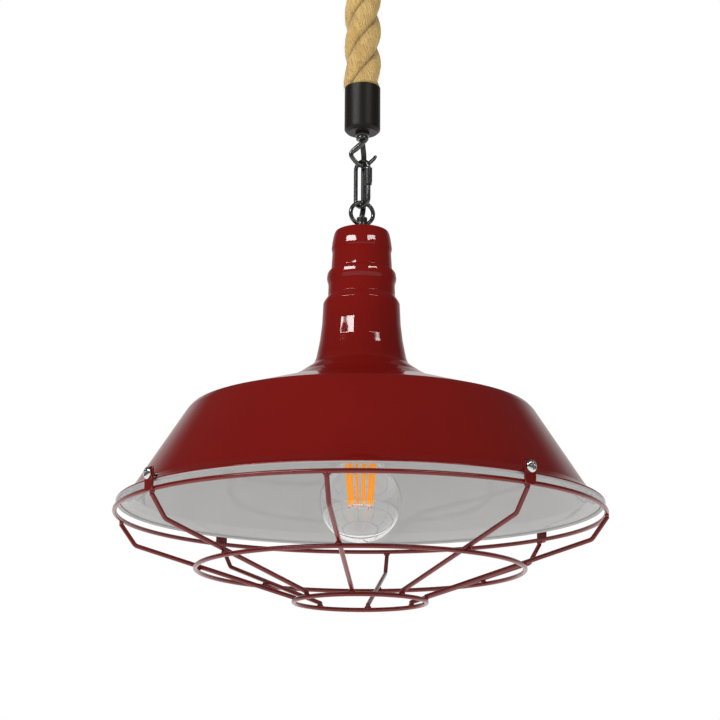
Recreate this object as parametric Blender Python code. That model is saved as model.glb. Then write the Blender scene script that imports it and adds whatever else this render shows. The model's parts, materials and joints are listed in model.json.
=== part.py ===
"""Barn pendant light on a short thick rope.

From the ceiling down: a strap and canopy, a rope between two ferrules, a hook, a quick link, a lifting
loop, then a spun steel shade with its lampholder, bulb and welded wire guard.
Metres, +Z up, the ceiling at z = 0, the front of the light towards -Y.
"""

import math

import bmesh
import bpy
from mathutils import Vector

# ---- fits ----------------------------------------------------------------------------------------
GAP = 0.0003  # clearance between pieces that rest on each other, are welded, or are screwed together

# ---- ceiling fitting -----------------------------------------------------------------------------
STRAP_LENGTH = 0.096
STRAP_WIDTH = 0.024
STRAP_THICKNESS = 0.0025
STRAP_HOLE_SPACING = 0.044
STRAP_HOLE_RADIUS = 0.0023
CANOPY_RADIUS = 0.055
CANOPY_DEPTH = 0.028
CANOPY_WALL = 0.0015
CANOPY_CORNER = 0.006
CANOPY_SCREW_SPACING = 0.080
CANOPY_SCREW_RADIUS = 0.0018
CANOPY_SCREW_HEAD_RADIUS = 0.0042
CANOPY_SCREW_HEAD_HEIGHT = 0.0045
CEILING_CLEARANCE = 0.0005  # the canopy's rim stops just short of the ceiling
TERMINAL_BLOCK = (0.026, 0.014, 0.011)

# ---- rope, ferrules and cord -----------------------------------------------------------------------
ROPE_DIAMETER = 0.028
ROPE_LENGTH = 0.176
FERRULE_SHY = 0.0001  # the rope stands this much proud of its ferrules
FERRULE_RADIUS = ROPE_DIAMETER / 2 - FERRULE_SHY
FERRULE_LENGTH = 0.037
FERRULE_WALL = 0.0013
FERRULE_FLOOR = 0.004
FERRULE_CHAMFER = 0.0022
NIPPLE_RADIUS = 0.005
NIPPLE_STAND = 0.0085  # how far the nipple stands above the canopy's floor
NUT_RADIUS = 0.0088
NUT_HEIGHT = 0.005
CORD_RADIUS = 0.0021
CORD_CLEARANCE = 0.0005
CORD_BORE = CORD_RADIUS + CORD_CLEARANCE

# ---- hook, quick link and lifting loop --------------------------------------------------------------
COLLAR_STAND = 0.0004  # the hook collar is this much wider than its threaded stem
COLLAR_RADIUS = NIPPLE_RADIUS + COLLAR_STAND
COLLAR_HEIGHT = 0.006
HOOK_WIRE = 0.0017
HOOK_SHANK = 0.0023
HOOK_DROP = 0.0268  # ferrule's underside to the centre of the wire at the bottom of the hook
HOOK_REACH = 0.0090
HOOK_TIP_REACH = 0.0108
HOOK_YAW = math.radians(20.0)
LINK_WIRE = 0.0016
LINK_PITCH = 0.0369  # between the wire centres of the two ends
LINK_HALF_WIDTH = 0.0062
LINK_YAW = math.radians(-38.0)
LINK_MOUTH = 0.0045
SLEEVE_WALL = 0.0009
SLEEVE_RADIUS = LINK_WIRE + GAP + SLEEVE_WALL
SLEEVE_LENGTH = 0.0138
LOOP_WIRE = 0.0016
LOOP_RADIUS = 0.0089
LOOP_YAW = math.radians(16.0)
LOOP_RISE = 0.0145  # neck's top to the centre of the loop
LOOP_COLLAR_RADIUS = 0.0049
LOOP_COLLAR_HEIGHT = 0.0110
LOOP_STEM_RADIUS = 0.0044
LOOP_STEM_LENGTH = 0.020

# ---- shade -----------------------------------------------------------------------------------------
SHEET = 0.0012
RIM_RADIUS = 0.1795
RIM_HEIGHT = 0.0065  # above the guard's top ring plane
LIP_WIDTH = 0.0108
LIP_RISE = 0.0075
CONE_RISE = 0.060
CONE_TOP_RADIUS = 0.1304
SHOULDER_RADIUS = 0.1194
SHOULDER_RISE = 0.0060
CROWN_RADIUS = 0.0605
CROWN_RISE = 0.0190
FLARE_RADIUS = 0.0361
FLARE_RISE = 0.0150
NECK_FOOT_RADIUS = 0.0325
NECK_FOOT_RISE = 0.0120
LOWER_TIER_RADIUS = 0.0289
LOWER_TIER_RISE = 0.0360
MIDDLE_TIER_RADIUS = 0.0255
STEP_RISE = 0.0055
MIDDLE_WAIST_RISE = 0.0095
MIDDLE_BEAD_RADIUS = 0.0264
MIDDLE_BEAD_RISE = 0.0060
UPPER_TIER_RADIUS = 0.0232
UPPER_WAIST_RADIUS = 0.0223
UPPER_WAIST_RISE = 0.0150
UPPER_BEAD_RADIUS = 0.0229
UPPER_BEAD_RISE = 0.0040
NECK_TOP_RISE = 0.0165  # above the upper tier's waist
NECK_CORNER = 0.0035
NECK_TOP_RADIUS = 0.0220

# ---- lampholder --------------------------------------------------------------------------------------
TUBE_WALL = 0.0015
TUBE_RADIUS = LOOP_STEM_RADIUS + GAP + TUBE_WALL
HOLDER_RADIUS = 0.0200
HOLDER_WALL = 0.0022
HOLDER_HEIGHT = 0.042
HOLDER_CAP_HEIGHT = 0.015
HOLDER_CAP_NECK = TUBE_RADIUS + GAP + 0.0020
INSERT_HEIGHT = 0.010
SHELL_WALL = 0.0004
CONTACT_RADIUS = 0.0045
TERMINAL_SPACING = 0.018
TERMINAL_RADIUS = 0.0024
LEAD_RADIUS = 0.0009

# ---- bulb --------------------------------------------------------------------------------------------
BULB_RADIUS = 0.0305
BULB_CENTRE = 0.0110  # above the guard's top ring plane
BULB_LENGTH = 0.1065
BULB_CAP_RADIUS = 0.0131
BULB_CAP_HEIGHT = 0.0220
BULB_THREAD_CLEARANCE = 0.0006
BULB_CAP_WALL = 0.0009
BULB_NECK_RADIUS = BULB_CAP_RADIUS - BULB_CAP_WALL - 0.0002
BULB_GLASS = 0.0008
BULB_TIP_RADIUS = 0.0038
BULB_TIP_HEIGHT = 0.0016
BULB_INSULATOR_HEIGHT = 0.0028
FILAMENT_COUNT = 6
FILAMENT_RADIUS = 0.0013
FILAMENT_LENGTH = 0.038
FILAMENT_TOP_SPREAD = 0.0115
FILAMENT_BOTTOM_SPREAD = 0.0083

# ---- guard -------------------------------------------------------------------------------------------
GUARD_WIRE = 0.0017
GUARD_OVERHANG = 0.0005  # the top ring's centre lies this far outside the shade's rim
GUARD_TOP_RADIUS = RIM_RADIUS + GUARD_OVERHANG
GUARD_BEND_INSET = 0.0112
GUARD_BEND_RADIUS = GUARD_TOP_RADIUS - GUARD_BEND_INSET
GUARD_BEND_DROP = 0.0195
GUARD_BOTTOM_RADIUS = 0.0484
GUARD_BOTTOM_DROP = 0.0632
GUARD_MIDDLE_RADIUS = 0.1204
RIB_COUNT = 8
RIB_START = math.radians(-7.0)  # first rib, measured from the front towards the right
LUG_WIDTH = 0.010
LUG_THICKNESS = 0.0015
LUG_BELOW = 0.0020
SCREW_RIM_CLEARANCE = 0.0037
SCREW_HEIGHT = RIM_HEIGHT + SCREW_RIM_CLEARANCE
SCREW_RADIUS = 0.0015
SCREW_CLEARANCE = 0.0004
SCREW_HEAD_RADIUS = 0.0043
SCREW_HEAD_HEIGHT = 0.0026
SCREW_TIP_INSET = 0.0033  # the end reaches this far over the rim, to bear on the lip's slope
SCREW_TIP_RADIUS = RIM_RADIUS - SCREW_TIP_INSET
LUG_ABOVE = SCREW_HEIGHT + SCREW_HEAD_RADIUS + GAP

# ---- heights that follow from the sizes above ---------------------------------------------------------
CANOPY_BOTTOM = -CEILING_CLEARANCE - CANOPY_DEPTH
UPPER_FERRULE_TOP = CANOPY_BOTTOM - GAP
ROPE_TOP = UPPER_FERRULE_TOP - FERRULE_FLOOR - GAP
ROPE_BOTTOM = ROPE_TOP - ROPE_LENGTH
FERRULE_BOTTOM = ROPE_BOTTOM - GAP - FERRULE_FLOOR
COLLAR_BOTTOM = FERRULE_BOTTOM - COLLAR_HEIGHT
HOOK_PIVOT = FERRULE_BOTTOM - HOOK_DROP
LINK_TOP = HOOK_PIVOT + HOOK_WIRE + LINK_WIRE + GAP
LAMP_PIVOT = LINK_TOP - LINK_PITCH
LOOP_CENTRE = LAMP_PIVOT + LINK_WIRE + LOOP_WIRE + GAP - LOOP_RADIUS
NECK_TOP = LOOP_CENTRE - LOOP_RISE
SHADE_TIERS = (CONE_RISE, SHOULDER_RISE, CROWN_RISE, FLARE_RISE, NECK_FOOT_RISE, LOWER_TIER_RISE, STEP_RISE)
NECK_TIERS = (MIDDLE_WAIST_RISE, MIDDLE_BEAD_RISE, STEP_RISE, UPPER_WAIST_RISE, NECK_TOP_RISE)
SHADE_HEIGHT = RIM_HEIGHT + LIP_RISE + sum(SHADE_TIERS) + sum(NECK_TIERS)  # above the guard's plane
GUARD_PLANE = NECK_TOP - SHADE_HEIGHT
BULB_BOTTOM = GUARD_PLANE + BULB_CENTRE - BULB_RADIUS
BULB_TOP = BULB_BOTTOM + BULB_LENGTH
CAP_TOP = BULB_TOP - BULB_TIP_HEIGHT - BULB_INSULATOR_HEIGHT - 2 * GAP
CAP_BOTTOM = CAP_TOP - BULB_CAP_HEIGHT
CONTACT_BOTTOM = BULB_TOP + GAP
INSERT_BOTTOM = CONTACT_BOTTOM + 0.0015
HOLDER_TOP = INSERT_BOTTOM + INSERT_HEIGHT + 0.001
HOLDER_BOTTOM = HOLDER_TOP - HOLDER_HEIGHT
SHELL_RADIUS = BULB_CAP_RADIUS + BULB_THREAD_CLEARANCE

ROOT_ORIGIN = Vector((0, 0, 0))
LINK_ORIGIN = Vector((0, 0, HOOK_PIVOT))
LAMP_ORIGIN = Vector((0, 0, LAMP_PIVOT))
BULB_ORIGIN = Vector((0, 0, CAP_BOTTOM))


# ---- materials -----------------------------------------------------------------------------------------
def finish_of(name, colour, roughness, metallic):
    """One plain Principled material, made once and shared by name."""
    found = bpy.data.materials.get(name)
    if found:
        return found
    made = bpy.data.materials.new(name)
    made.use_nodes = True
    shader = made.node_tree.nodes["Principled BSDF"]
    shader.inputs["Base Color"].default_value = (*colour, 1)
    shader.inputs["Roughness"].default_value = roughness
    shader.inputs["Metallic"].default_value = metallic
    made.diffuse_color = (*colour, 1)
    return made


def red_enamel():
    return finish_of("red_enamel", (0.19, 0.008, 0.006), 0.25, 0.0)


def black_steel():
    return finish_of("black_steel", (0.012, 0.012, 0.011), 0.45, 0.6)


def bright_steel():
    return finish_of("bright_steel", (0.62, 0.62, 0.60), 0.25, 1.0)


def zinc_steel():
    return finish_of("zinc_steel", (0.50, 0.50, 0.48), 0.4, 1.0)


def brass():
    return finish_of("brass", (0.60, 0.42, 0.16), 0.3, 1.0)


def hemp():
    return finish_of("hemp", (0.50, 0.33, 0.14), 0.9, 0.0)


def black_cable():
    return finish_of("black_cable", (0.015, 0.015, 0.015), 0.5, 0.0)


def white_plastic():
    return finish_of("white_plastic", (0.75, 0.75, 0.72), 0.5, 0.0)


def black_plastic():
    return finish_of("black_plastic", (0.02, 0.02, 0.02), 0.4, 0.0)


def porcelain():
    return finish_of("porcelain", (0.80, 0.79, 0.75), 0.3, 0.0)


def clear_glass():
    return finish_of("clear_glass", (0.85, 0.88, 0.88), 0.05, 0.0)


def phosphor():
    return finish_of("phosphor", (0.90, 0.42, 0.04), 0.5, 0.0)


# ---- shape helpers ---------------------------------------------------------------------------------------
def add_object(name, data, material, origin):
    """Link the data as a named object whose origin is at the given point."""
    made = bpy.data.objects.new(name, data)
    made.location = origin
    data.materials.append(material)
    bpy.context.collection.objects.link(made)
    return made


def mesh_object(name, bm, material, origin=ROOT_ORIGIN, smooth=False):
    """Turn a bmesh in world positions into an object."""
    bmesh.ops.remove_doubles(bm, verts=bm.verts, dist=1e-6)
    bmesh.ops.recalc_face_normals(bm, faces=bm.faces)
    bmesh.ops.translate(bm, vec=-origin, verts=bm.verts)
    for face in bm.faces:
        face.smooth = smooth
    data = bpy.data.meshes.new(name)
    bm.to_mesh(data)
    bm.free()
    return add_object(name, data, material, origin)


def turned(profile, segments):
    """Spin a profile of (radius, height) points once round Z. A profile whose ends are both on the
    axis is open; any other is a closed ring."""
    bm = bmesh.new()
    verts = [bm.verts.new((radius, 0, height)) for radius, height in profile]
    edges = [bm.edges.new(pair) for pair in zip(verts, verts[1:])]
    if profile[0][0] > 0 or profile[-1][0] > 0:
        edges.append(bm.edges.new((verts[-1], verts[0])))
    bmesh.ops.spin(
        bm,
        geom=verts + edges,
        cent=(0, 0, 0),
        axis=(0, 0, 1),
        angle=math.tau,
        steps=segments,
        use_merge=True,
    )
    return bm


def lathe(name, profile, segments, material, origin=ROOT_ORIGIN):
    """A turned piece on the lamp's own axis."""
    return mesh_object(name, turned(profile, segments), material, origin, smooth=True)


def tube_profile(inner, outer, bottom, top):
    return [(outer, top), (outer, bottom), (inner, bottom), (inner, top)]


def rod_profile(radius, bottom, top):
    return [(0, top), (radius, top), (radius, bottom), (0, bottom)]


def wire(name, points, radius, material, origin=ROOT_ORIGIN, resolution=1, radii=None):
    """A round wire or cable through the points, with closed ends."""
    data = bpy.data.curves.new(name, "CURVE")
    data.dimensions = "3D"
    data.bevel_depth = radius
    data.bevel_resolution = resolution
    data.use_fill_caps = True
    spline = data.splines.new("POLY")
    spline.points.add(len(points) - 1)
    for index, point in enumerate(points):
        spline.points[index].co = (*(Vector(point) - origin), 1)
        spline.points[index].radius = radii[index] / radius if radii else 1
    return add_object(name, data, material, origin)


def ring_mesh(radius, wire_radius, height, segments, sides):
    """A closed hoop of round wire."""
    profile = []
    for step in range(sides):
        angle = math.tau * (step + 0.5) / sides
        profile.append((radius + wire_radius * math.cos(angle), height + wire_radius * math.sin(angle)))
    return turned(profile, segments)


def block(size, centre):
    """An upright box."""
    bm = bmesh.new()
    bmesh.ops.create_cube(bm, size=1)
    bmesh.ops.scale(bm, vec=size, verts=bm.verts)
    bmesh.ops.translate(bm, vec=centre, verts=bm.verts)
    return bm


def turn_about_z(bm, angle):
    for vert in bm.verts:
        x, y, z = vert.co
        vert.co = (x * math.cos(angle) - y * math.sin(angle), x * math.sin(angle) + y * math.cos(angle), z)


def boolean(body, operation, cutter):
    """Join or cut with a hidden helper that stays parented to the same origin."""
    cutter.hide_render = True
    cutter.display_type = "WIRE"
    step = body.modifiers.new(operation.lower(), "BOOLEAN")
    step.operation = operation
    step.solver = "EXACT"
    step.object = cutter
    return body


def drill(body, radius, bottom, top, x=0.0, y=0.0, sides=16):
    """Cut an upright round hole."""
    bm = turned(rod_profile(radius, bottom, top), sides)
    bmesh.ops.translate(bm, vec=(x, y, 0), verts=bm.verts)
    cutter = mesh_object(body.name + "_hole_cutter", bm, body.data.materials[0])
    return boolean(body, "DIFFERENCE", cutter)


def around(angle, radius, height):
    """A point at an angle measured from the front (-Y) towards the right (+X)."""
    return Vector((radius * math.sin(angle), -radius * math.cos(angle), height))


def in_plane(yaw, along, height, across=0.0):
    """A point in an upright plane through the axis, turned by yaw from the X axis."""
    x = along * math.cos(yaw) - across * math.sin(yaw)
    y = along * math.sin(yaw) + across * math.cos(yaw)
    return Vector((x, y, height))


def offset_inwards(profile, wall):
    """The same profile moved by the wall thickness towards its hollow side."""
    moved = []
    for index, point in enumerate(profile):
        before = Vector(profile[max(index - 1, 0)])
        after = Vector(profile[min(index + 1, len(profile) - 1)])
        along = (after - before).normalized()
        moved.append((point[0] - along.y * wall, point[1] + along.x * wall))
    return moved


# ---- ceiling fitting -------------------------------------------------------------------------------------
def ceiling_strap():
    centre = (0, 0, -STRAP_THICKNESS / 2)
    bm = block((STRAP_LENGTH, STRAP_WIDTH, STRAP_THICKNESS), centre)
    strap = mesh_object("ceiling_strap", bm, zinc_steel())
    for side in (-1, 1):
        drill(strap, STRAP_HOLE_RADIUS, -0.01, 0.01, x=side * STRAP_HOLE_SPACING / 2)
        drill(strap, CANOPY_SCREW_RADIUS + GAP, -0.01, 0.01, x=side * CANOPY_SCREW_SPACING / 2)


def canopy():
    """A shallow cup, open to the ceiling, with a hole for the nipple and two for its screws."""
    rim = -CEILING_CLEARANCE
    outer = CANOPY_RADIUS
    corner = CANOPY_CORNER
    bottom = CANOPY_BOTTOM
    floor = bottom + CANOPY_WALL
    bore = NIPPLE_RADIUS + GAP
    inner_corner = corner - CANOPY_WALL
    profile = [(outer, rim)]
    for step in range(4):
        angle = math.radians(30 * step)
        radius = outer - corner * (1 - math.cos(angle))
        profile.append((radius, bottom + corner * (1 - math.sin(angle))))
    profile.append((bore, bottom))
    profile.append((bore, floor))
    for step in range(3, -1, -1):
        angle = math.radians(30 * step)
        radius = outer - CANOPY_WALL - inner_corner * (1 - math.cos(angle))
        profile.append((radius, floor + inner_corner * (1 - math.sin(angle))))
    profile.append((outer - CANOPY_WALL, rim))
    cup = lathe("canopy", profile, 28, black_steel())
    for side in (-1, 1):
        x = side * CANOPY_SCREW_SPACING / 2
        drill(cup, CANOPY_SCREW_RADIUS + GAP, bottom - 0.004, floor + 0.004, x=x)


def canopy_screws():
    """Machine screws up through the canopy into the strap, each with a domed head below."""
    for side, word in ((-1, "left"), (1, "right")):
        top = CANOPY_BOTTOM - GAP
        head = CANOPY_SCREW_HEAD_RADIUS
        height = CANOPY_SCREW_HEAD_HEIGHT
        profile = [
            (0, -0.0005),
            (CANOPY_SCREW_RADIUS, -0.0005),
            (CANOPY_SCREW_RADIUS, top),
            (head, top),
            (head, top - 0.4 * height),
            (0.75 * head, top - 0.8 * height),
            (0.35 * head, top - height),
            (0, top - height),
        ]
        bm = turned(profile, 16)
        bmesh.ops.translate(bm, vec=(side * CANOPY_SCREW_SPACING / 2, 0, 0), verts=bm.verts)
        mesh_object("canopy_screw_" + word, bm, bright_steel(), smooth=True)


def terminal_block():
    top = -STRAP_THICKNESS - GAP
    bm = block(TERMINAL_BLOCK, (0, 0, top - TERMINAL_BLOCK[2] / 2))
    mesh_object("terminal_block", bm, white_plastic())


def hexagon_nut(name, bore, radius, bottom, height, origin=ROOT_ORIGIN):
    """A hexagon nut: a solid hexagon drilled by a round cutter."""
    nut = mesh_object(name, turned(rod_profile(radius, bottom, bottom + height), 6), zinc_steel(), origin)
    return drill(nut, bore, bottom - 0.002, bottom + height + 0.002, sides=20)


def canopy_nipple_and_nut():
    top = CANOPY_BOTTOM + CANOPY_WALL + NIPPLE_STAND
    bottom = UPPER_FERRULE_TOP - FERRULE_FLOOR + GAP
    lathe("canopy_nipple", tube_profile(CORD_BORE, NIPPLE_RADIUS, bottom, top), 20, zinc_steel())
    seat = CANOPY_BOTTOM + CANOPY_WALL + GAP
    hexagon_nut("canopy_nipple_nut", NIPPLE_RADIUS + GAP, NUT_RADIUS, seat, NUT_HEIGHT)


def canopy_cord():
    """The cable from the terminal block down through the nipple to the rope's core."""
    top = -STRAP_THICKNESS - TERMINAL_BLOCK[2] - 2 * GAP
    lathe("canopy_cord", rod_profile(CORD_RADIUS, ROPE_TOP + GAP, top), 12, black_cable())


# ---- rope and ferrules ---------------------------------------------------------------------------------
def ferrule(name, closed_end, direction, hole):
    """A cup that grips the rope's end; direction is +1 where it opens upwards."""
    mouth = closed_end + direction * FERRULE_LENGTH
    floor = closed_end + direction * FERRULE_FLOOR
    chamfer = FERRULE_CHAMFER
    profile = [
        (FERRULE_RADIUS, mouth - direction * 0.0006),
        (FERRULE_RADIUS, closed_end + direction * chamfer),
        (FERRULE_RADIUS - 0.35 * chamfer, closed_end + direction * 0.35 * chamfer),
        (FERRULE_RADIUS - chamfer, closed_end),
        (hole, closed_end),
        (hole, floor),
        (FERRULE_RADIUS - FERRULE_WALL, floor),
        (FERRULE_RADIUS - FERRULE_WALL, mouth),
        (FERRULE_RADIUS - 0.0005, mouth),
    ]
    lathe(name, profile, 20, black_steel())


def rope():
    """The rope as one round bar, necked down where each ferrule grips it."""
    gripped = FERRULE_RADIUS - FERRULE_WALL - GAP
    free = ROPE_DIAMETER / 2
    upper_mouth = UPPER_FERRULE_TOP - FERRULE_LENGTH
    lower_mouth = FERRULE_BOTTOM + FERRULE_LENGTH
    bulge = 0.003
    heights = [ROPE_TOP, upper_mouth - GAP, upper_mouth - GAP - bulge]
    radii = [gripped, gripped, free]
    middle = (upper_mouth + lower_mouth) / 2
    heights += [middle, lower_mouth + GAP + bulge, lower_mouth + GAP, ROPE_BOTTOM]
    radii += [free, free, gripped, gripped]
    points = [(0, 0, height) for height in heights]
    wire("rope", points, free, hemp(), resolution=4, radii=radii)


# ---- hook and cord -------------------------------------------------------------------------------------
def hook_collar():
    """A turned collar of two beads on a threaded stem, bored for the cord."""
    stem = NIPPLE_RADIUS
    top = FERRULE_BOTTOM + FERRULE_FLOOR
    seat = FERRULE_BOTTOM - GAP
    bead = COLLAR_RADIUS
    bottom = COLLAR_BOTTOM
    half = (seat + bottom) / 2
    profile = [
        (stem, top),
        (stem, seat),
        (0.92 * bead, seat),
        (bead, seat - 0.0012),
        (0.92 * bead, half + 0.0003),
        (0.80 * bead, half),
        (0.86 * bead, half - 0.0008),
        (0.86 * bead, bottom + 0.0008),
        (0.80 * bead, bottom),
        (CORD_BORE, bottom),
        (CORD_BORE, top),
    ]
    lathe("hook_collar", profile, 14, black_steel())


def hook_path():
    """An open hook: from the collar's right down to a corner on the left, under, and up to its tip."""
    yaw = HOOK_YAW
    corner = HOOK_PIVOT + 0.0080
    start = COLLAR_BOTTOM - GAP
    return [
        Vector((0.0024, -0.0046, start - 0.0016)),
        Vector((0.0002, -0.0049, start - 0.0034)),
        in_plane(yaw, -0.0055, start - 0.0075, -0.0022),
        in_plane(yaw, -0.96 * HOOK_REACH, corner + 0.0018, -0.0003),
        in_plane(yaw, -HOOK_REACH, corner - 0.0004),
        in_plane(yaw, -0.88 * HOOK_REACH, corner - 0.0026),
        in_plane(yaw, -0.50 * HOOK_REACH, HOOK_PIVOT + 0.0018),
        in_plane(yaw, -0.26 * HOOK_REACH, HOOK_PIVOT + 0.0004),
        in_plane(yaw, 0.0, HOOK_PIVOT),
        in_plane(yaw, 0.26 * HOOK_REACH, HOOK_PIVOT + 0.0004),
        in_plane(yaw, 0.50 * HOOK_REACH, HOOK_PIVOT + 0.0018),
        in_plane(yaw, 0.84 * HOOK_TIP_REACH, HOOK_PIVOT + 0.0062),
        in_plane(yaw, HOOK_TIP_REACH, HOOK_PIVOT + 0.0088),
    ]


def hook():
    points = hook_path()
    radii = [HOOK_WIRE] * len(points)
    radii[0] = 0.7 * HOOK_SHANK
    radii[1] = HOOK_SHANK * 0.85
    radii[2] = HOOK_SHANK
    radii[-1] = 0.8 * HOOK_WIRE
    wire("hook", points, HOOK_WIRE, black_steel(), resolution=2, radii=radii)


def cord_route():
    """Out of the hook collar, behind the hook and the link, then into the lifting loop's collar."""
    back = 0.0062
    side = 0.0012
    loop_top = LOOP_CENTRE + LOOP_RADIUS
    collar_top = NECK_TOP + LOOP_COLLAR_HEIGHT
    return [
        Vector((0, 0, FERRULE_BOTTOM + FERRULE_FLOOR)),
        Vector((0, 0, COLLAR_BOTTOM - 0.0006)),
        Vector((0.2 * side, 0.12 * back, COLLAR_BOTTOM - 0.0028)),
        Vector((0.6 * side, 0.50 * back, COLLAR_BOTTOM - 0.0065)),
        Vector((side, 0.88 * back, COLLAR_BOTTOM - 0.0110)),
        Vector((side, back, HOOK_PIVOT + 0.0040)),
        Vector((side, back, (HOOK_PIVOT + loop_top) / 2)),
        Vector((side, back, loop_top + 0.0025)),
        Vector((0.8 * side, 0.94 * back, loop_top - 0.0020)),
        Vector((0.5 * side, 0.66 * back, loop_top - 0.0065)),
        Vector((0.1 * side, 0.20 * back, collar_top + 0.0024)),
        Vector((0, 0, collar_top + 0.0002)),
        Vector((0, 0, NECK_TOP)),
    ]


def power_cord():
    """The free length of cable, in two pieces that meet behind the middle of the link."""
    route = cord_route()
    upper = route[:7]
    lower = [route[6] - Vector((0, 0, GAP))] + route[7:]
    wire("power_cord_upper", upper, CORD_RADIUS, black_cable(), resolution=2)
    wire("power_cord_lower", lower, CORD_RADIUS, black_cable(), origin=LINK_ORIGIN, resolution=2)


# ---- quick link ----------------------------------------------------------------------------------------
def link_path():
    """Round the link from the top of its mouth, over, down the far leg and back up to the mouth."""
    half = LINK_HALF_WIDTH
    top_centre = LINK_TOP - half
    bottom_centre = LINK_TOP - LINK_PITCH + half
    mouth_top = top_centre - 0.0022
    points = [in_plane(LINK_YAW, half, mouth_top)]
    for step in range(9):
        angle = math.pi * step / 8
        points.append(in_plane(LINK_YAW, half * math.cos(angle), top_centre + half * math.sin(angle)))
    for step in range(9):
        angle = math.pi + math.pi * step / 8
        points.append(in_plane(LINK_YAW, half * math.cos(angle), bottom_centre + half * math.sin(angle)))
    points.append(in_plane(LINK_YAW, half, mouth_top - LINK_MOUTH))
    return points


def quick_link():
    wire("quick_link", link_path(), LINK_WIRE, black_steel(), LINK_ORIGIN, resolution=2)


def sleeve_top():
    return LINK_TOP - LINK_HALF_WIDTH - 0.0004


def quick_link_sleeve():
    """The threaded sleeve that bridges the link's mouth."""
    top = sleeve_top()
    bottom = top - SLEEVE_LENGTH
    bore = LINK_WIRE + GAP
    radius = SLEEVE_RADIUS
    profile = [
        (radius, top - 0.0006),
        (radius, bottom + 0.0008),
        (radius - 0.0006, bottom),
        (bore, bottom),
        (bore, top),
        (radius - 0.0004, top),
    ]
    centre = in_plane(LINK_YAW, LINK_HALF_WIDTH, 0)
    bm = turned(profile, 16)
    bmesh.ops.translate(bm, vec=centre, verts=bm.verts)
    origin = Vector((centre.x, centre.y, top))
    mesh_object("quick_link_sleeve", bm, black_steel(), origin, smooth=True)


# ---- lifting loop ----------------------------------------------------------------------------------------
def lifting_loop():
    """A ring on a bored collar with a threaded stem below, as one forging."""
    top = NECK_TOP + LOOP_COLLAR_HEIGHT
    seat = NECK_TOP + GAP
    radius = LOOP_COLLAR_RADIUS
    profile = [
        (0, top),
        (0.80 * radius, top),
        (0.94 * radius, top - 0.0008),
        (0.94 * radius, seat + 0.0030),
        (radius, seat + 0.0022),
        (radius, seat),
        (LOOP_STEM_RADIUS, seat),
        (LOOP_STEM_RADIUS, seat - LOOP_STEM_LENGTH),
        (0, seat - LOOP_STEM_LENGTH),
    ]
    body = lathe("lifting_loop", profile, 20, black_steel(), LAMP_ORIGIN)
    bm = ring_mesh(LOOP_RADIUS, LOOP_WIRE, 0, 24, 8)
    for vert in bm.verts:
        x, y, z = vert.co
        vert.co = in_plane(LOOP_YAW, x, LOOP_CENTRE + y, -z)
    ring = mesh_object("lifting_loop_ring", bm, black_steel(), LAMP_ORIGIN, smooth=True)
    boolean(body, "UNION", ring)
    bore = turned(rod_profile(CORD_BORE, seat - LOOP_STEM_LENGTH - 0.002, top + 0.002), 16)
    cutter = mesh_object("lifting_loop_bore_cutter", bore, black_steel(), LAMP_ORIGIN)
    boolean(body, "DIFFERENCE", cutter)


# ---- shade -----------------------------------------------------------------------------------------------
def shade_outline():
    """Outer (radius, height) points from the rim up to the hole in the neck's top."""
    z = GUARD_PLANE + RIM_HEIGHT
    points = [(RIM_RADIUS, z)]
    cone_foot = RIM_RADIUS - LIP_WIDTH
    points.append((RIM_RADIUS - 0.62 * LIP_WIDTH, z + 0.48 * LIP_RISE))
    z += LIP_RISE
    points.append((cone_foot, z))
    slope = (cone_foot - CONE_TOP_RADIUS) / CONE_RISE
    z += CONE_RISE
    points.append((CONE_TOP_RADIUS, z))
    points.append((CONE_TOP_RADIUS - 0.42 * slope * SHOULDER_RISE - 0.0016, z + 0.62 * SHOULDER_RISE))
    z += SHOULDER_RISE
    points.append((SHOULDER_RADIUS, z))
    z += CROWN_RISE
    points.append((CROWN_RADIUS, z))
    z += FLARE_RISE
    points.append((0.55 * CROWN_RADIUS + 0.45 * FLARE_RADIUS, z - 0.62 * FLARE_RISE))
    points.append((FLARE_RADIUS, z))
    points.append((0.5 * (FLARE_RADIUS + NECK_FOOT_RADIUS) - 0.0004, z + 0.45 * NECK_FOOT_RISE))
    z += NECK_FOOT_RISE
    points.append((NECK_FOOT_RADIUS, z))
    z += LOWER_TIER_RISE
    points.append((LOWER_TIER_RADIUS, z))
    points.append((LOWER_TIER_RADIUS - 0.0012, z + 0.45 * STEP_RISE))
    z += STEP_RISE
    points.append((MIDDLE_TIER_RADIUS, z))
    z += MIDDLE_WAIST_RISE
    points.append((MIDDLE_TIER_RADIUS - 0.0003, z))
    z += MIDDLE_BEAD_RISE
    points.append((MIDDLE_BEAD_RADIUS, z))
    points.append((MIDDLE_BEAD_RADIUS - 0.0009, z + 0.5 * STEP_RISE))
    z += STEP_RISE
    points.append((UPPER_TIER_RADIUS, z))
    z += UPPER_WAIST_RISE
    points.append((UPPER_WAIST_RADIUS, z))
    points.append((UPPER_BEAD_RADIUS, z + UPPER_BEAD_RISE))
    top = NECK_TOP
    points.append((NECK_TOP_RADIUS, top - NECK_CORNER))
    points.append((NECK_TOP_RADIUS - 0.3 * NECK_CORNER, top - 0.3 * NECK_CORNER))
    points.append((NECK_TOP_RADIUS - NECK_CORNER, top))
    points.append((LOOP_STEM_RADIUS + GAP, top))
    return points


def shade():
    outer = shade_outline()
    inner = offset_inwards(outer, SHEET)
    inner[-1] = (outer[-1][0], NECK_TOP - SHEET)
    lathe("shade", outer + inner[::-1], 36, red_enamel(), LAMP_ORIGIN)


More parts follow.
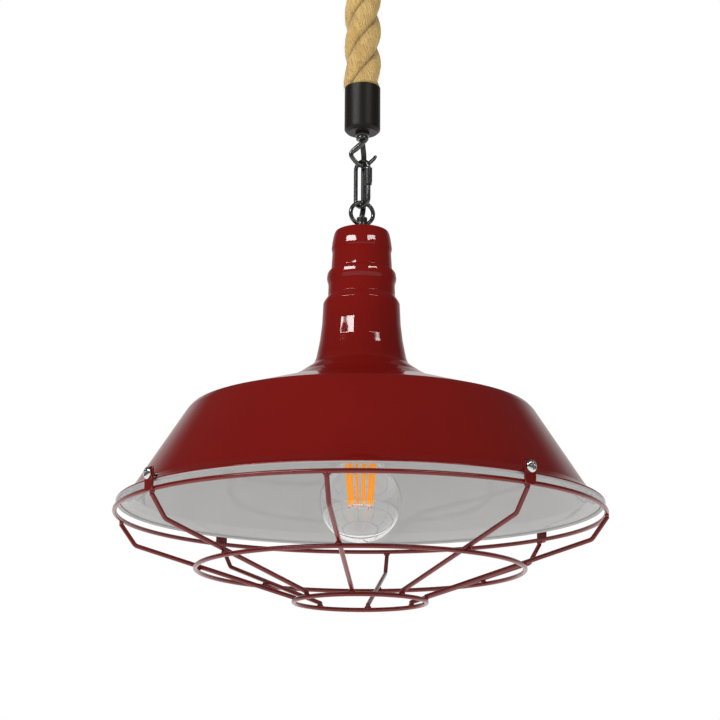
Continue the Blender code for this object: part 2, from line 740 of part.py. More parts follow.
def neck_fixings():
    """Inside the neck: a washer and a nut on the loop's stem, and the tube that carries the holder."""
    under = NECK_TOP - SHEET - GAP
    bore = LOOP_STEM_RADIUS + GAP
    washer = tube_profile(bore, 0.0095, under - 0.0012, under)
    lathe("neck_washer", washer, 24, zinc_steel(), LAMP_ORIGIN)
    nut_top = under - 0.0012 - GAP
    hexagon_nut("neck_nut", bore, NUT_RADIUS, nut_top - NUT_HEIGHT, NUT_HEIGHT, LAMP_ORIGIN)
    tube_top = nut_top - NUT_HEIGHT - GAP
    tube_bottom = HOLDER_TOP + 0.0045
    tube = tube_profile(bore, TUBE_RADIUS, tube_bottom, tube_top)
    lathe("stem_tube", tube, 20, zinc_steel(), LAMP_ORIGIN)


# ---- lampholder --------------------------------------------------------------------------------------------
def lampholder_cap():
    """The domed top of the lampholder, screwed on the tube."""
    bottom = HOLDER_TOP + GAP
    top = bottom + HOLDER_CAP_HEIGHT
    radius = HOLDER_RADIUS
    bore = TUBE_RADIUS + GAP
    wall = HOLDER_WALL
    profile = [
        (HOLDER_CAP_NECK, top),
        (HOLDER_CAP_NECK, top - 0.0050),
        (radius - 0.0050, top - 0.0070),
        (radius, bottom + 0.0030),
        (radius, bottom),
        (radius - wall, bottom),
        (radius - wall, bottom + 0.0020),
        (radius - 0.0070, bottom + 0.0044),
        (bore, bottom + 0.0044),
        (bore, top),
    ]
    lathe("lampholder_cap", profile, 18, black_plastic(), LAMP_ORIGIN)


def lampholder_body():
    """The skirt: a tube with an inner ledge that the porcelain insert sits against."""
    ledge = SHELL_RADIUS + SHELL_WALL + GAP
    inner = HOLDER_RADIUS - HOLDER_WALL
    ledge_top = INSERT_BOTTOM - GAP
    profile = [
        (HOLDER_RADIUS, HOLDER_TOP),
        (HOLDER_RADIUS, HOLDER_BOTTOM + 0.0015),
        (HOLDER_RADIUS - 0.0010, HOLDER_BOTTOM),
        (ledge + 0.0020, HOLDER_BOTTOM),
        (ledge, HOLDER_BOTTOM + 0.0010),
        (ledge, ledge_top),
        (inner, ledge_top),
        (inner, HOLDER_TOP),
    ]
    lathe("lampholder_body", profile, 18, black_plastic(), LAMP_ORIGIN)


def lampholder_insert():
    """The porcelain disc that carries the contacts, with a bore for the leads."""
    outer = HOLDER_RADIUS - HOLDER_WALL - GAP
    top = INSERT_BOTTOM + INSERT_HEIGHT - 0.0042
    lathe("lampholder_insert", rod_profile(outer, INSERT_BOTTOM, top), 18, porcelain(), LAMP_ORIGIN)


def lampholder_shell():
    """The screw shell that takes the bulb's cap."""
    top = INSERT_BOTTOM - GAP
    bottom = CAP_BOTTOM + 0.0015
    shell = tube_profile(SHELL_RADIUS, SHELL_RADIUS + SHELL_WALL, bottom, top)
    lathe("lampholder_screw_shell", shell, 16, brass(), LAMP_ORIGIN)


def lampholder_contact():
    """The centre contact between the bulb's tip and the insert."""
    top = INSERT_BOTTOM - GAP
    lathe("lampholder_contact", rod_profile(CONTACT_RADIUS, CONTACT_BOTTOM, top), 16, brass(), LAMP_ORIGIN)


def lampholder_wiring():
    """Two terminal screws on the insert, the cable inside the tube, and a lead to each screw."""
    seat = INSERT_BOTTOM + INSERT_HEIGHT - 0.0042 + GAP
    cord_end = HOLDER_TOP + 0.0066
    cord = rod_profile(CORD_RADIUS, cord_end, NECK_TOP - GAP)
    lathe("power_cord_in_tube", cord, 12, black_cable(), LAMP_ORIGIN)
    for side, word in ((-1, "left"), (1, "right")):
        x = side * TERMINAL_SPACING / 2
        bm = turned(rod_profile(TERMINAL_RADIUS, seat, seat + 0.0024), 12)
        bmesh.ops.translate(bm, vec=(x, 0, 0), verts=bm.verts)
        mesh_object("terminal_screw_" + word, bm, brass(), LAMP_ORIGIN)
        start = Vector((side * 0.0011, 0, cord_end - GAP))
        landing = seat + 0.0024 + LEAD_RADIUS + GAP
        points = [
            start,
            start + Vector((side * 0.0003, 0, -0.0020)),
            Vector((x - side * 0.0030, 0, landing + 0.0012)),
            Vector((x - side * 0.0012, 0, landing)),
            Vector((x + side * 0.0016, 0, landing)),
        ]
        wire("lead_" + word, points, LEAD_RADIUS, black_cable(), LAMP_ORIGIN)


# ---- bulb ------------------------------------------------------------------------------------------------
def bulb_outline(shrink):
    """The envelope's outer or inner line from the cap end down to the pole."""
    centre = BULB_BOTTOM + BULB_RADIUS
    ball = BULB_RADIUS - shrink
    top = CAP_BOTTOM - GAP
    neck = BULB_NECK_RADIUS - shrink
    blend_angle = math.radians(42)
    blend_radius = ball * math.cos(blend_angle)
    blend_height = centre + ball * math.sin(blend_angle)
    points = [(neck, top), (neck + 0.0002, top - 0.006)]
    reach = blend_height - (top - 0.006)
    points.append((neck + 0.34 * (blend_radius - neck), top - 0.006 + 0.44 * reach))
    points.append((blend_radius, blend_height))
    for step in range(1, 9):
        angle = blend_angle - (blend_angle + math.pi / 2) * step / 8
        points.append((max(ball * math.cos(angle), 0.0), centre + ball * math.sin(angle)))
    points[-1] = (0.0, centre - ball)
    return points


def bulb_glass():
    outer = bulb_outline(0.0)
    inner = bulb_outline(BULB_GLASS)
    bm = bmesh.new()
    profile = outer[::-1] + inner
    verts = [bm.verts.new((radius, 0, height)) for radius, height in profile]
    edges = [bm.edges.new(pair) for pair in zip(verts, verts[1:])]
    spin = dict(cent=(0, 0, 0), axis=(0, 0, 1), angle=math.tau, steps=20, use_merge=True)
    bmesh.ops.spin(bm, geom=verts + edges, **spin)
    mesh_object("bulb_glass", bm, clear_glass(), BULB_ORIGIN, smooth=True)


def bulb_cap():
    """The screw cap: a cup whose skirt holds the glass, with a shoulder to the insulator."""
    bore = BULB_CAP_RADIUS - BULB_CAP_WALL
    top = CAP_TOP
    profile = [
        (0.0068, top),
        (0.0088, top - 0.0010),
        (BULB_CAP_RADIUS - 0.0008, top - 0.0032),
        (BULB_CAP_RADIUS, top - 0.0048),
        (BULB_CAP_RADIUS, CAP_BOTTOM),
        (bore, CAP_BOTTOM),
        (bore, top - 0.0052),
        (0.0068, top - 0.0026),
    ]
    lathe("bulb_cap", profile, 16, bright_steel(), BULB_ORIGIN)


def bulb_end():
    """The dark insulator and the contact tip at the end of the cap."""
    bottom = CAP_TOP + GAP
    top = bottom + BULB_INSULATOR_HEIGHT
    cone = [(0, top), (0.0046, top), (0.0082, bottom), (0, bottom)]
    lathe("bulb_insulator", cone, 20, black_plastic(), BULB_ORIGIN)
    seat = top + GAP
    radius = BULB_TIP_RADIUS
    tip = [(0, BULB_TOP), (0.6 * radius, BULB_TOP), (radius, seat + 0.0006), (radius, seat), (0, seat)]
    lathe("bulb_contact_tip", tip, 16, bright_steel(), BULB_ORIGIN)


def filament_heights():
    bottom = BULB_BOTTOM + BULB_RADIUS - 0.002
    return bottom, bottom + FILAMENT_LENGTH


def bulb_stem():
    """The glass stem that stands in the bulb's neck and carries the filaments."""
    low, high = filament_heights()
    top = CAP_BOTTOM - GAP
    profile = [
        (0, top),
        (0.0080, top),
        (0.0074, top - 0.0015),
        (0.0036, high + 0.0050),
        (0.0022, high - 0.0040),
        (0.0014, low + 0.0030),
        (0, low + 0.0030),
    ]
    lathe("bulb_stem", profile, 14, clear_glass(), BULB_ORIGIN)


def bulb_filaments():
    """Six long filaments leaning inwards, held between an upper hoop and a lower hub."""
    low, high = filament_heights()
    hoop = ring_mesh(FILAMENT_TOP_SPREAD, 0.0008, high, 24, 6)
    hub = mesh_object("bulb_filaments", hoop, phosphor(), BULB_ORIGIN)
    disc = turned(rod_profile(FILAMENT_BOTTOM_SPREAD + 0.0004, low - 0.0008, low + 0.0006), 18)
    boolean(hub, "UNION", mesh_object("filament_hub", disc, phosphor(), BULB_ORIGIN))
    for index in range(FILAMENT_COUNT):
        angle = math.radians(75) + math.tau * index / FILAMENT_COUNT
        bm = turned(rod_profile(FILAMENT_RADIUS, 0, FILAMENT_LENGTH), 8)
        for vert in bm.verts:
            share = vert.co.z / FILAMENT_LENGTH
            spread = FILAMENT_BOTTOM_SPREAD + (FILAMENT_TOP_SPREAD - FILAMENT_BOTTOM_SPREAD) * share
            shift = around(angle, spread, low)
            vert.co = vert.co + shift
        stick = mesh_object("filament_stick_%d" % index, bm, phosphor(), BULB_ORIGIN)
        boolean(hub, "UNION", stick)


# ---- guard -------------------------------------------------------------------------------------------------
def rib_ends():
    """The (radius, drop) points of a rib: under the top ring, its bend, and on the bottom ring."""
    top = (GUARD_TOP_RADIUS, -2 * GUARD_WIRE - GAP)
    bend = (GUARD_BEND_RADIUS, -GUARD_BEND_DROP)
    foot = (GUARD_BOTTOM_RADIUS, -GUARD_BOTTOM_DROP + 2 * GUARD_WIRE + GAP)
    return top, bend, foot


def rib_direction():
    """Unit vector down the long part of a rib, and the vector square to it, outwards."""
    _, bend, foot = rib_ends()
    along = (Vector(foot) - Vector(bend)).normalized()
    return along, Vector((-along.y, along.x)) * (1 if along.x > 0 else -1)


def guard_rings():
    """The top ring, and two smaller hoops welded outside the ribs."""
    top = ring_mesh(GUARD_TOP_RADIUS, GUARD_WIRE, GUARD_PLANE, 44, 6)
    mesh_object("guard_top_ring", top, red_enamel(), LAMP_ORIGIN, smooth=True)
    bend = Vector(rib_ends()[1])
    along, out = rib_direction()
    share = (GUARD_MIDDLE_RADIUS - bend.x) / along.x
    centre = bend + along * share
    height = GUARD_PLANE + centre.y - (2 * GUARD_WIRE + 2 * GAP) / abs(along.x)
    middle = ring_mesh(GUARD_MIDDLE_RADIUS, GUARD_WIRE, height, 36, 6)
    mesh_object("guard_middle_ring", middle, red_enamel(), LAMP_ORIGIN, smooth=True)
    bottom = ring_mesh(GUARD_BOTTOM_RADIUS, GUARD_WIRE, GUARD_PLANE - GUARD_BOTTOM_DROP, 28, 6)
    mesh_object("guard_bottom_ring", bottom, red_enamel(), LAMP_ORIGIN, smooth=True)


def guard_rib(index):
    """One bent rib: a short steep leg, a bend, then a long straight run to the bottom ring."""
    angle = RIB_START + math.tau * index / RIB_COUNT
    top, bend, foot = (Vector(point) for point in rib_ends())
    short = (bend - top).normalized()
    long = (foot - bend).normalized()
    flat = [top, bend - short * 0.004, bend + (long - short) * 0.0008, bend + long * 0.004, foot]
    points = [around(angle, point.x, GUARD_PLANE + point.y) for point in flat]
    wire("guard_rib_%d" % (index + 1), points, GUARD_WIRE, red_enamel(), LAMP_ORIGIN, resolution=1)


def lug_angle(number):
    """Lugs stand over every second rib."""
    return RIB_START + math.tau * (2 * number + 1) / RIB_COUNT


def guard_lug(number):
    """A flat tab welded outside the top ring, with a hole for its clamp screw."""
    angle = lug_angle(number)
    inner = GUARD_TOP_RADIUS + GUARD_WIRE + GAP
    height = LUG_ABOVE + LUG_BELOW
    centre = (inner + LUG_THICKNESS / 2, 0, GUARD_PLANE + (LUG_ABOVE - LUG_BELOW) / 2)
    bm = block((LUG_THICKNESS, LUG_WIDTH, height), centre)
    turn = angle - math.pi / 2
    turn_about_z(bm, turn)
    name = "guard_lug_%d" % (number + 1)
    lug = mesh_object(name, bm, red_enamel(), LAMP_ORIGIN)
    hole = radial_rod(SCREW_RADIUS + SCREW_CLEARANCE, inner - 0.01, inner + 0.01, 14)
    turn_about_z(hole, turn)
    boolean(lug, "DIFFERENCE", mesh_object(name + "_hole_cutter", hole, red_enamel(), LAMP_ORIGIN))


def radial_rod(radius, start, end, sides):
    """A rod along +X at the screw's height."""
    return radial_turned([(0, end), (radius, end), (radius, start), (0, start)], sides)


def radial_turned(profile, sides):
    bm = turned(profile, sides)
    for vert in bm.verts:
        x, y, z = vert.co
        vert.co = (z, y, GUARD_PLANE + SCREW_HEIGHT - x)
    return bm


def guard_screw(number):
    """A pan-head clamp screw through its lug, its end close to the shade's wall."""
    seat = GUARD_TOP_RADIUS + GUARD_WIRE + 2 * GAP + LUG_THICKNESS
    head = SCREW_HEAD_RADIUS
    height = SCREW_HEAD_HEIGHT
    profile = [
        (0, seat + height),
        (0.45 * head, seat + height),
        (0.85 * head, seat + 0.72 * height),
        (head, seat + 0.30 * height),
        (head, seat),
        (SCREW_RADIUS, seat),
        (SCREW_RADIUS, SCREW_TIP_RADIUS + 0.0008),
        (0.6 * SCREW_RADIUS, SCREW_TIP_RADIUS),
        (0, SCREW_TIP_RADIUS),
    ]
    bm = radial_turned(profile, 14)
    angle = lug_angle(number)
    turn_about_z(bm, angle - math.pi / 2)
    origin = around(angle, seat, GUARD_PLANE + SCREW_HEIGHT)
    mesh_object("guard_screw_%d" % (number + 1), bm, bright_steel(), origin, smooth=True)


# ---- assembly ------------------------------------------------------------------------------------------------
def main():
    for found in list(bpy.data.objects):
        bpy.data.objects.remove(found)
    ceiling_strap()
    canopy()
    canopy_screws()
    terminal_block()
    canopy_nipple_and_nut()
    canopy_cord()
    hole = NIPPLE_RADIUS + GAP
    ferrule("upper_ferrule", UPPER_FERRULE_TOP, -1, hole)
    rope()
    ferrule("lower_ferrule", FERRULE_BOTTOM, 1, hole)
    hook_collar()
    hook()
    power_cord()
    quick_link()
    quick_link_sleeve()
    lifting_loop()
    shade()
    neck_fixings()
    lampholder_cap()
    lampholder_body()
    lampholder_insert()
    lampholder_shell()
    lampholder_contact()
    lampholder_wiring()
    bulb_glass()
    bulb_cap()
    bulb_end()
    bulb_stem()
    bulb_filaments()
    guard_rings()
    for index in range(RIB_COUNT):
        guard_rib(index)
    for number in range(RIB_COUNT // 2):
        guard_lug(number)
        guard_screw(number)


main()
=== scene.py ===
"""The looks of a barn pendant light: enamel, rope, forged hangers, bulb and wire guard.

Each sub-assembly is a class with its own sizes. Its surfaces are grids worked out with numpy, in metres,
in the frame's own axes: +Z up, the ceiling at z = 0, the front of the light towards -Y.
"""

import json
import logging
import math
from dataclasses import dataclass, field
from enum import Enum

import bpy
import numpy as np
from mathutils import Matrix, Vector


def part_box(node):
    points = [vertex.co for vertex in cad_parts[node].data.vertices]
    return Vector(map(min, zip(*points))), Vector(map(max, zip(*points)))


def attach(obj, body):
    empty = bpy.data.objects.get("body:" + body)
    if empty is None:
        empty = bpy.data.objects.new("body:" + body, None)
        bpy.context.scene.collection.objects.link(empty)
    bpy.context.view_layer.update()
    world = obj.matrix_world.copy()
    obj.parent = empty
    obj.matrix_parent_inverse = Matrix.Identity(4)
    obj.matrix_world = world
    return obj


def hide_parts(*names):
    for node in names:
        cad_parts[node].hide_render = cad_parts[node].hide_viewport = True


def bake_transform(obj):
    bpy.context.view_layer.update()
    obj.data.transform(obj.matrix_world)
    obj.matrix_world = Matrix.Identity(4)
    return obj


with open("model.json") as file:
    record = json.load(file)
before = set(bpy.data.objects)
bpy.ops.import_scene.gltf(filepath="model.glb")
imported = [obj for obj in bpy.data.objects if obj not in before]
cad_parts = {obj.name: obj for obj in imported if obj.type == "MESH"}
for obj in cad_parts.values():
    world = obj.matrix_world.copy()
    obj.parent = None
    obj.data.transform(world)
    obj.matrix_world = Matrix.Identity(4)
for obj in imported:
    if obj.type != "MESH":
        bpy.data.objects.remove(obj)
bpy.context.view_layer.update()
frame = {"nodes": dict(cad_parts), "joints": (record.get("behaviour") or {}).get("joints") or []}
LOG = logging.getLogger("pendant")
GAP = 0.0003
CREASE = math.radians(40)
Socket = bpy.types.NodeSocket


# ---- shapes ----
def unit(vectors: np.ndarray) -> np.ndarray:
    """Scale rows to length one."""
    return vectors / np.maximum(np.linalg.norm(vectors, axis=-1, keepdims=True), 1e-12)


def smooth_line(points: list, count: int) -> np.ndarray:
    """Run a Catmull-Rom curve through a few points.

    Each span is the cubic through its two ends whose slope at an end is half the chord between that
    end's neighbours.

    Args:
        points: the points to pass through.
        count: how many points to return, spread evenly over the spans.

    Returns:
        The curve, count by 3.
    """
    knots = np.array([tuple(p) for p in points], float)
    padded = np.vstack([2 * knots[0] - knots[1], knots, 2 * knots[-1] - knots[-2]])
    place = np.linspace(0, len(knots) - 1 - 1e-9, count)
    span = place.astype(int)
    t = (place - span)[:, None]
    a, b, c, d = (padded[span + step] for step in range(4))
    return 0.5 * (2 * b + (c - a) * t + (2 * a - 5 * b + 4 * c - d) * t**2 + (3 * b - a - 3 * c + d) * t**3)


def rounded(points: list, radii: list, steps: int = 5) -> np.ndarray:
    """Round a profile's corners.

    A corner becomes the parabola tangent to both its sides, starting as far from the corner as a circle
    of that radius would, and never more than 0.48 of the shorter side.

    Args:
        points: (radius, height) corners.
        radii: one rounding for each corner; 0 keeps it sharp.
        steps: segments along each rounding.

    Returns:
        The rounded profile, n by 2.
    """
    corners = np.array(points, float)
    share = np.linspace(0, 1, steps + 1)[:, None]
    pieces = []
    for index, radius in enumerate(radii):
        here = corners[index]
        if radius == 0 or index in (0, len(corners) - 1):
            pieces.append(here[None])
            continue
        back, on = corners[index - 1] - here, corners[index + 1] - here
        turn = math.acos(float(np.clip(unit(back[None])[0] @ unit(on[None])[0], -1, 1)))
        cut = min(radius / math.tan(turn / 2), 0.48 * np.linalg.norm(back), 0.48 * np.linalg.norm(on))
        start, end = here + unit(back[None])[0] * cut, here + unit(on[None])[0] * cut
        pieces.append((1 - share) ** 2 * start + 2 * share * (1 - share) * here + share**2 * end)
    return np.vstack(pieces)


def resampled(profile: np.ndarray, spacing: float) -> np.ndarray:
    """Add points along a profile's long stretches, so that shading stays even across them.

    Args:
        profile: (radius, height) points.
        spacing: the longest stretch to leave.

    Returns:
        The longer profile, n by 2.
    """
    lengths = np.linalg.norm(np.diff(profile, axis=0), axis=1)
    counts = np.maximum(1, np.ceil(lengths / spacing).astype(int))
    places = np.concatenate([i + np.arange(n) / n for i, n in enumerate(counts)] + [[len(lengths)]])
    whole = np.arange(len(profile))
    return np.stack([np.interp(places, whole, profile[:, k]) for k in (0, 1)], axis=1)


def turned(profile: np.ndarray, columns: int) -> np.ndarray:
    """Turn a profile round Z: a row is the circle of that radius at that height.

    Args:
        profile: (radius, height) points.
        columns: points round each circle.

    Returns:
        The grid, points by columns by 3.
    """
    angle = np.linspace(0, math.tau, columns, endpoint=False)
    radius, height = profile[:, 0][:, None], profile[:, 1][:, None]
    return np.stack([radius * np.cos(angle), radius * np.sin(angle), height + 0 * angle], axis=-1)


def swept(path: np.ndarray, radii: np.ndarray, across: Vector, sides: int) -> np.ndarray:
    """Carry a circle along a path.

    Each row is a circle square to the path. Its first axis is the cross product of the path's direction
    and a fixed direction, so the rows don't twist.

    Args:
        path: the centre line.
        radii: the circle's radius at each point of the path.
        across: a direction that the path never runs along.
        sides: points round the circle.

    Returns:
        The grid, rows by sides by 3.
    """
    along = unit(np.gradient(path, axis=0))
    first = unit(np.cross(along, np.array(tuple(across))))
    second = np.cross(first, along)
    angle = np.linspace(0, math.tau, sides, endpoint=False)[None, :, None]
    reach = np.broadcast_to(radii, (len(path),))[:, None, None]
    return path[:, None] + reach * (np.cos(angle) * first[:, None] + np.sin(angle) * second[:, None])


def domed(path: np.ndarray, radii: np.ndarray, steps: int = 5) -> tuple[np.ndarray, np.ndarray]:
    """Lengthen a path by a half ball at each end.

    Args:
        path: the centre line.
        radii: its radius at each point.
        steps: rows in each half ball.

    Returns:
        The longer path and its radii, which end at 0.
    """
    radii = np.broadcast_to(radii, (len(path),)).astype(float)
    angle = np.linspace(0, math.pi / 2, steps, endpoint=False)
    head, tail = unit(path[:1] - path[1:2]), unit(path[-1:] - path[-2:-1])
    before = path[0] + head * (radii[0] * np.cos(angle))[:, None]
    after = path[-1] + tail * (radii[-1] * np.cos(angle[::-1]))[:, None]
    longer = np.concatenate([radii[0] * np.sin(angle), radii, radii[-1] * np.sin(angle[::-1])])
    return np.vstack([before, path, after]), longer


def hoop(radius: float, wire: float, centre: Vector, sides: int, columns: int) -> np.ndarray:
    """Make a level ring of round wire: a circle of the wire's radius turned round a circle of the ring's.

    Args:
        radius: the ring's, to the wire's middle.
        wire: the wire's radius.
        centre: the ring's centre.
        sides: points round the wire.
        columns: points round the ring.

    Returns:
        The grid, sides by columns by 3.
    """
    angle = np.linspace(0, math.tau, sides, endpoint=False)
    profile = np.stack([radius + wire * np.cos(angle), wire * np.sin(angle)], axis=1)
    return turned(profile, columns) + np.array(tuple(centre))


def faces_of(rows: int, columns: int, ring: bool, poles: list) -> list:
    """Join neighbouring points of a grid whose columns wrap.

    Args:
        rows: the grid's rows.
        columns: its columns.
        ring: True where the last row joins the first.
        poles: whether the first row, and the last, is one point.

    Returns:
        Arrays of faces: the quads, a fan at each pole, and a lid on each open end.
    """
    index = np.arange(rows * columns).reshape(rows, columns)
    for end in (0, -1):
        if poles[end]:
            index[end] = index[end, 0]
    joined = np.vstack([index, index[:1]]) if ring else index
    low, high = joined[:-1], joined[1:]
    quads = np.stack([low, np.roll(low, -1, 1), np.roll(high, -1, 1), high], axis=-1)
    groups = [quads[int(poles[0]): len(quads) - int(poles[1])].reshape(-1, 4)]
    if poles[0]:
        groups.append(quads[0][:, [0, 2, 3]])
    if poles[1]:
        groups.append(quads[-1][:, [0, 1, 3]])
    if not ring and not poles[0]:
        groups.append(index[:1, ::-1])
    if not ring and not poles[1]:
        groups.append(index[-1:])
    return groups


def volume(points: np.ndarray, groups: list) -> float:
    """Add up the signed boxes that the faces' corners span from the middle; inside out, it is below zero.

    Args:
        points: the surface's points.
        groups: its faces, as faces_of gives them.

    Returns:
        Six times the enclosed volume.
    """
    centred = points - points.mean(axis=0)
    boxes = (centred[g[:, :1]] * np.cross(centred[g[:, 1:-1]], centred[g[:, 2:]]) for g in groups)
    return float(sum(box.sum() for box in boxes))


def skin(name: str, grids: list, ring: bool = False) -> bpy.types.Object:
    """Make one object of closed surfaces, each a grid of rows by columns.

    Args:
        name: the piece's name.
        grids: one array for each surface.
        ring: True where the last row joins the first.

    Returns:
        The object, at the origin, with its faces outwards, shaded smooth but for creases over 40 degrees.
    """
    points, faces, offset = [], [], 0
    for grid in grids:
        flat = grid.reshape(-1, 3)
        poles = [not ring and np.ptp(grid[end], axis=0).max() < 1e-9 for end in (0, -1)]
        groups = faces_of(*grid.shape[:2], ring, poles)
        step = -1 if volume(flat, groups) < 0 else 1
        faces += [group[:, ::step] + offset for group in groups]
        points.append(flat)
        offset += len(flat)
    used = np.zeros(offset, bool)
    used[np.concatenate([group.ravel() for group in faces])] = True
    renumbered = np.cumsum(used) - 1
    mesh = bpy.data.meshes.new(name)
    whole = [face for group in faces for face in renumbered[group].tolist()]
    mesh.from_pydata(np.vstack(points)[used], [], whole)
    piece = bpy.data.objects.new(name, mesh)
    bpy.context.scene.collection.objects.link(piece)
    mesh.shade_smooth()
    mesh.set_sharp_from_angle(angle=CREASE)
    mesh.update()
    return piece


def placed(grid: np.ndarray, matrix: Matrix) -> np.ndarray:
    """Turn and move a grid by a matrix."""
    turn = np.array(matrix.to_3x3())
    return grid @ turn.T + np.array(matrix.translation)


def around(angle: float, radius: float, height: float) -> Vector:
    """A point at an angle from the front towards the right."""
    return Vector((radius * math.sin(angle), -radius * math.cos(angle), height))


def in_plane(yaw: float, along: float, height: float, across: float = 0.0) -> Vector:
    """Find a point by an upright plane through the axis.

    Args:
        yaw: the plane's turn from X.
        along: how far along the plane.
        height: how high.
        across: how far off the plane.

    Returns:
        The point.
    """
    x = along * math.cos(yaw) - across * math.sin(yaw)
    return Vector((x, along * math.sin(yaw) + across * math.cos(yaw), height))


def finish_piece(
    piece: bpy.types.Object, look: "Finish | Looks", body: str, slot: str, *nodes: str
) -> bpy.types.Object:
    """Give a piece its material and its body, and hide the CAD nodes that it stands for.

    Args:
        piece: the new object.
        look: its finish.
        body: the CAD body that it moves with.
        slot: not used.
        nodes: the CAD nodes that it replaces.

    Returns:
        The same object.
    """
    piece.data.materials.append(look.material())
    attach(piece, body)
    if nodes:
        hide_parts(*nodes)
    LOG.info("%s: %d points, on %s", piece.name, len(piece.data.vertices), body)
    return piece


# ---- finishes ----
class Tree:
    """A material's nodes, with short calls for adding and joining them."""

    def __init__(self, name: str) -> None:
        """Start from one Principled shader."""
        self.material = bpy.data.materials.new(name)
        self.material.use_nodes = True
        self.nodes = self.material.node_tree.nodes
        self.links = self.material.node_tree.links
        self.shader = self.nodes["Principled BSDF"]
        self.place = self.nodes.new("ShaderNodeTexCoord").outputs["Object"]

    def noise(
        self, scale: float, detail: float, source: Socket | None = None, stretch: tuple = (1, 1, 1)
    ) -> Socket:
        """Add a noise pattern.

        Args:
            scale: how fine it is.
            detail: its octaves.
            source: the place it reads, the piece's own if none is given.
            stretch: the Mapping's scale.

        Returns:
            The pattern.
        """
        mapping = self.nodes.new("ShaderNodeMapping")
        mapping.inputs["Scale"].default_value = stretch
        self.links.new(source or self.place, mapping.inputs["Vector"])
        made = self.nodes.new("ShaderNodeTexNoise")
        made.inputs["Scale"].default_value = scale
        made.inputs["Detail"].default_value = detail
        self.links.new(mapping.outputs["Vector"], made.inputs["Vector"])
        return made.outputs["Fac"]

    def span(self, source: Socket, low: float, high: float, start: float = 0.3, stop: float = 0.7) -> Socket:
        """Map a pattern's values to a range.

        Args:
            source: the pattern.
            low: what start becomes.
            high: what stop becomes.
            start: the pattern's lower value.
            stop: the pattern's upper value.

        Returns:
            The mapped pattern.
        """
        made = self.nodes.new("ShaderNodeMapRange")
        for name, value in (("From Min", start), ("From Max", stop), ("To Min", low), ("To Max", high)):
            made.inputs[name].default_value = value
        self.links.new(source, made.inputs["Value"])
        return made.outputs["Result"]

    def mix(self, share: Socket, first: Socket | tuple, second: Socket | tuple) -> Socket:
        """Mix two colours, each a socket or three numbers.

        Args:
            share: the second colour's share.
            first: one colour.
            second: the other.

        Returns:
            The mixed colour.
        """
        made = self.nodes.new("ShaderNodeMix")
        made.data_type = "RGBA"
        self.links.new(share, made.inputs[0])
        for slot, value in ((6, first), (7, second)):
            if isinstance(value, Socket):
                self.links.new(value, made.inputs[slot])
            else:
                made.inputs[slot].default_value = (*value, 1)
        return made.outputs[2]

    def bump(self, source: Socket, depth: float, below: Socket | None = None) -> Socket:
        """Add a bump.

        Args:
            source: its pattern.
            depth: its depth in metres.
            below: another bump that it lies over.

        Returns:
            The normal.
        """
        made = self.nodes.new("ShaderNodeBump")
        made.inputs["Strength"].default_value = 1.0
        made.inputs["Distance"].default_value = depth
        self.links.new(source, made.inputs["Height"])
        if below is not None:
            self.links.new(below, made.inputs["Normal"])
        return made.outputs["Normal"]

    def attribute(self, name: str) -> bpy.types.Node:
        """Read one of the mesh's attributes."""
        made = self.nodes.new("ShaderNodeAttribute")
        made.attribute_name = name
        return made

    def feed(self, name: str, source: Socket) -> None:
        """Join a socket to one of the shader's inputs."""
        self.links.new(source, self.shader.inputs[name])

    def set(self, **values: float | tuple) -> None:
        """Set the shader's own numbers, such as Coat_Weight=1."""
        for name, value in values.items():
            self.shader.inputs[name.replace("_", " ")].default_value = value


@dataclass(frozen=True)
class Finish:
    """A plain solid finish: two close colours mixed by noise, uneven gloss and a fine bump."""

    name: str
    colour: tuple
    other: tuple
    roughness: float
    spread: float = 0.06
    metallic: float = 0.0
    coat: float = 0.0
    specular: float = 0.5
    grain: float = 300.0
    depth: float = 0.00002
    glow: float = 0.0

    def material(self) -> bpy.types.Material:
        """Make the material, or find it if it is already made.

        Returns:
            The material.
        """
        found = bpy.data.materials.get(self.name)
        if found:
            return found
        tree = Tree(self.name)
        self.paint(tree)
        return tree.material

    def paint(self, tree: Tree) -> None:
        """Join the colours, the gloss and the bump to the shader."""
        broad = tree.noise(self.grain * 0.12, 4)
        fine = tree.noise(self.grain, 3)
        tree.feed("Base Color", tree.mix(tree.span(broad, 0, 1), self.colour, self.other))
        low, high = max(self.roughness - self.spread, 0.02), self.roughness + self.spread
        tree.feed("Roughness", tree.span(fine, low, high))
        tree.feed("Normal", tree.bump(fine, self.depth))
        tree.set(Metallic=self.metallic, Coat_Weight=self.coat, Coat_Roughness=0.04)
        tree.set(Specular_IOR_Level=self.specular)
        # glow adds an even emission in the finish's own colour: painted light on the filaments, an evenly
        # bright floor below
        if self.glow:
            tree.set(Emission_Color=(*self.colour, 1), Emission_Strength=self.glow)


@dataclass(frozen=True)
class TwoToneEnamel(Finish):
    """Glossy enamel, one colour outside and another inside, told apart by the attribute lining."""

    lining: tuple = (0.50, 0.50, 0.50)

    def paint(self, tree: Tree) -> None:
        """Mix the outer colour and the lining by the attribute."""
        attribute = tree.attribute("lining")
        broad = tree.noise(14, 3)
        fine = tree.noise(self.grain, 2)
        red = tree.mix(tree.span(broad, 0, 1), self.colour, self.other)
        white = tree.mix(tree.span(broad, 0, 1), self.lining, tuple(0.95 * c for c in self.lining))
        tree.feed("Base Color", tree.mix(attribute.outputs["Fac"], red, white))
        tree.feed("Roughness", tree.span(fine, self.roughness - self.spread, self.roughness + self.spread))
        tree.feed("Normal", tree.bump(fine, self.depth))
        tree.set(Coat_Weight=self.coat, Coat_Roughness=0.03, Specular_IOR_Level=self.specular)


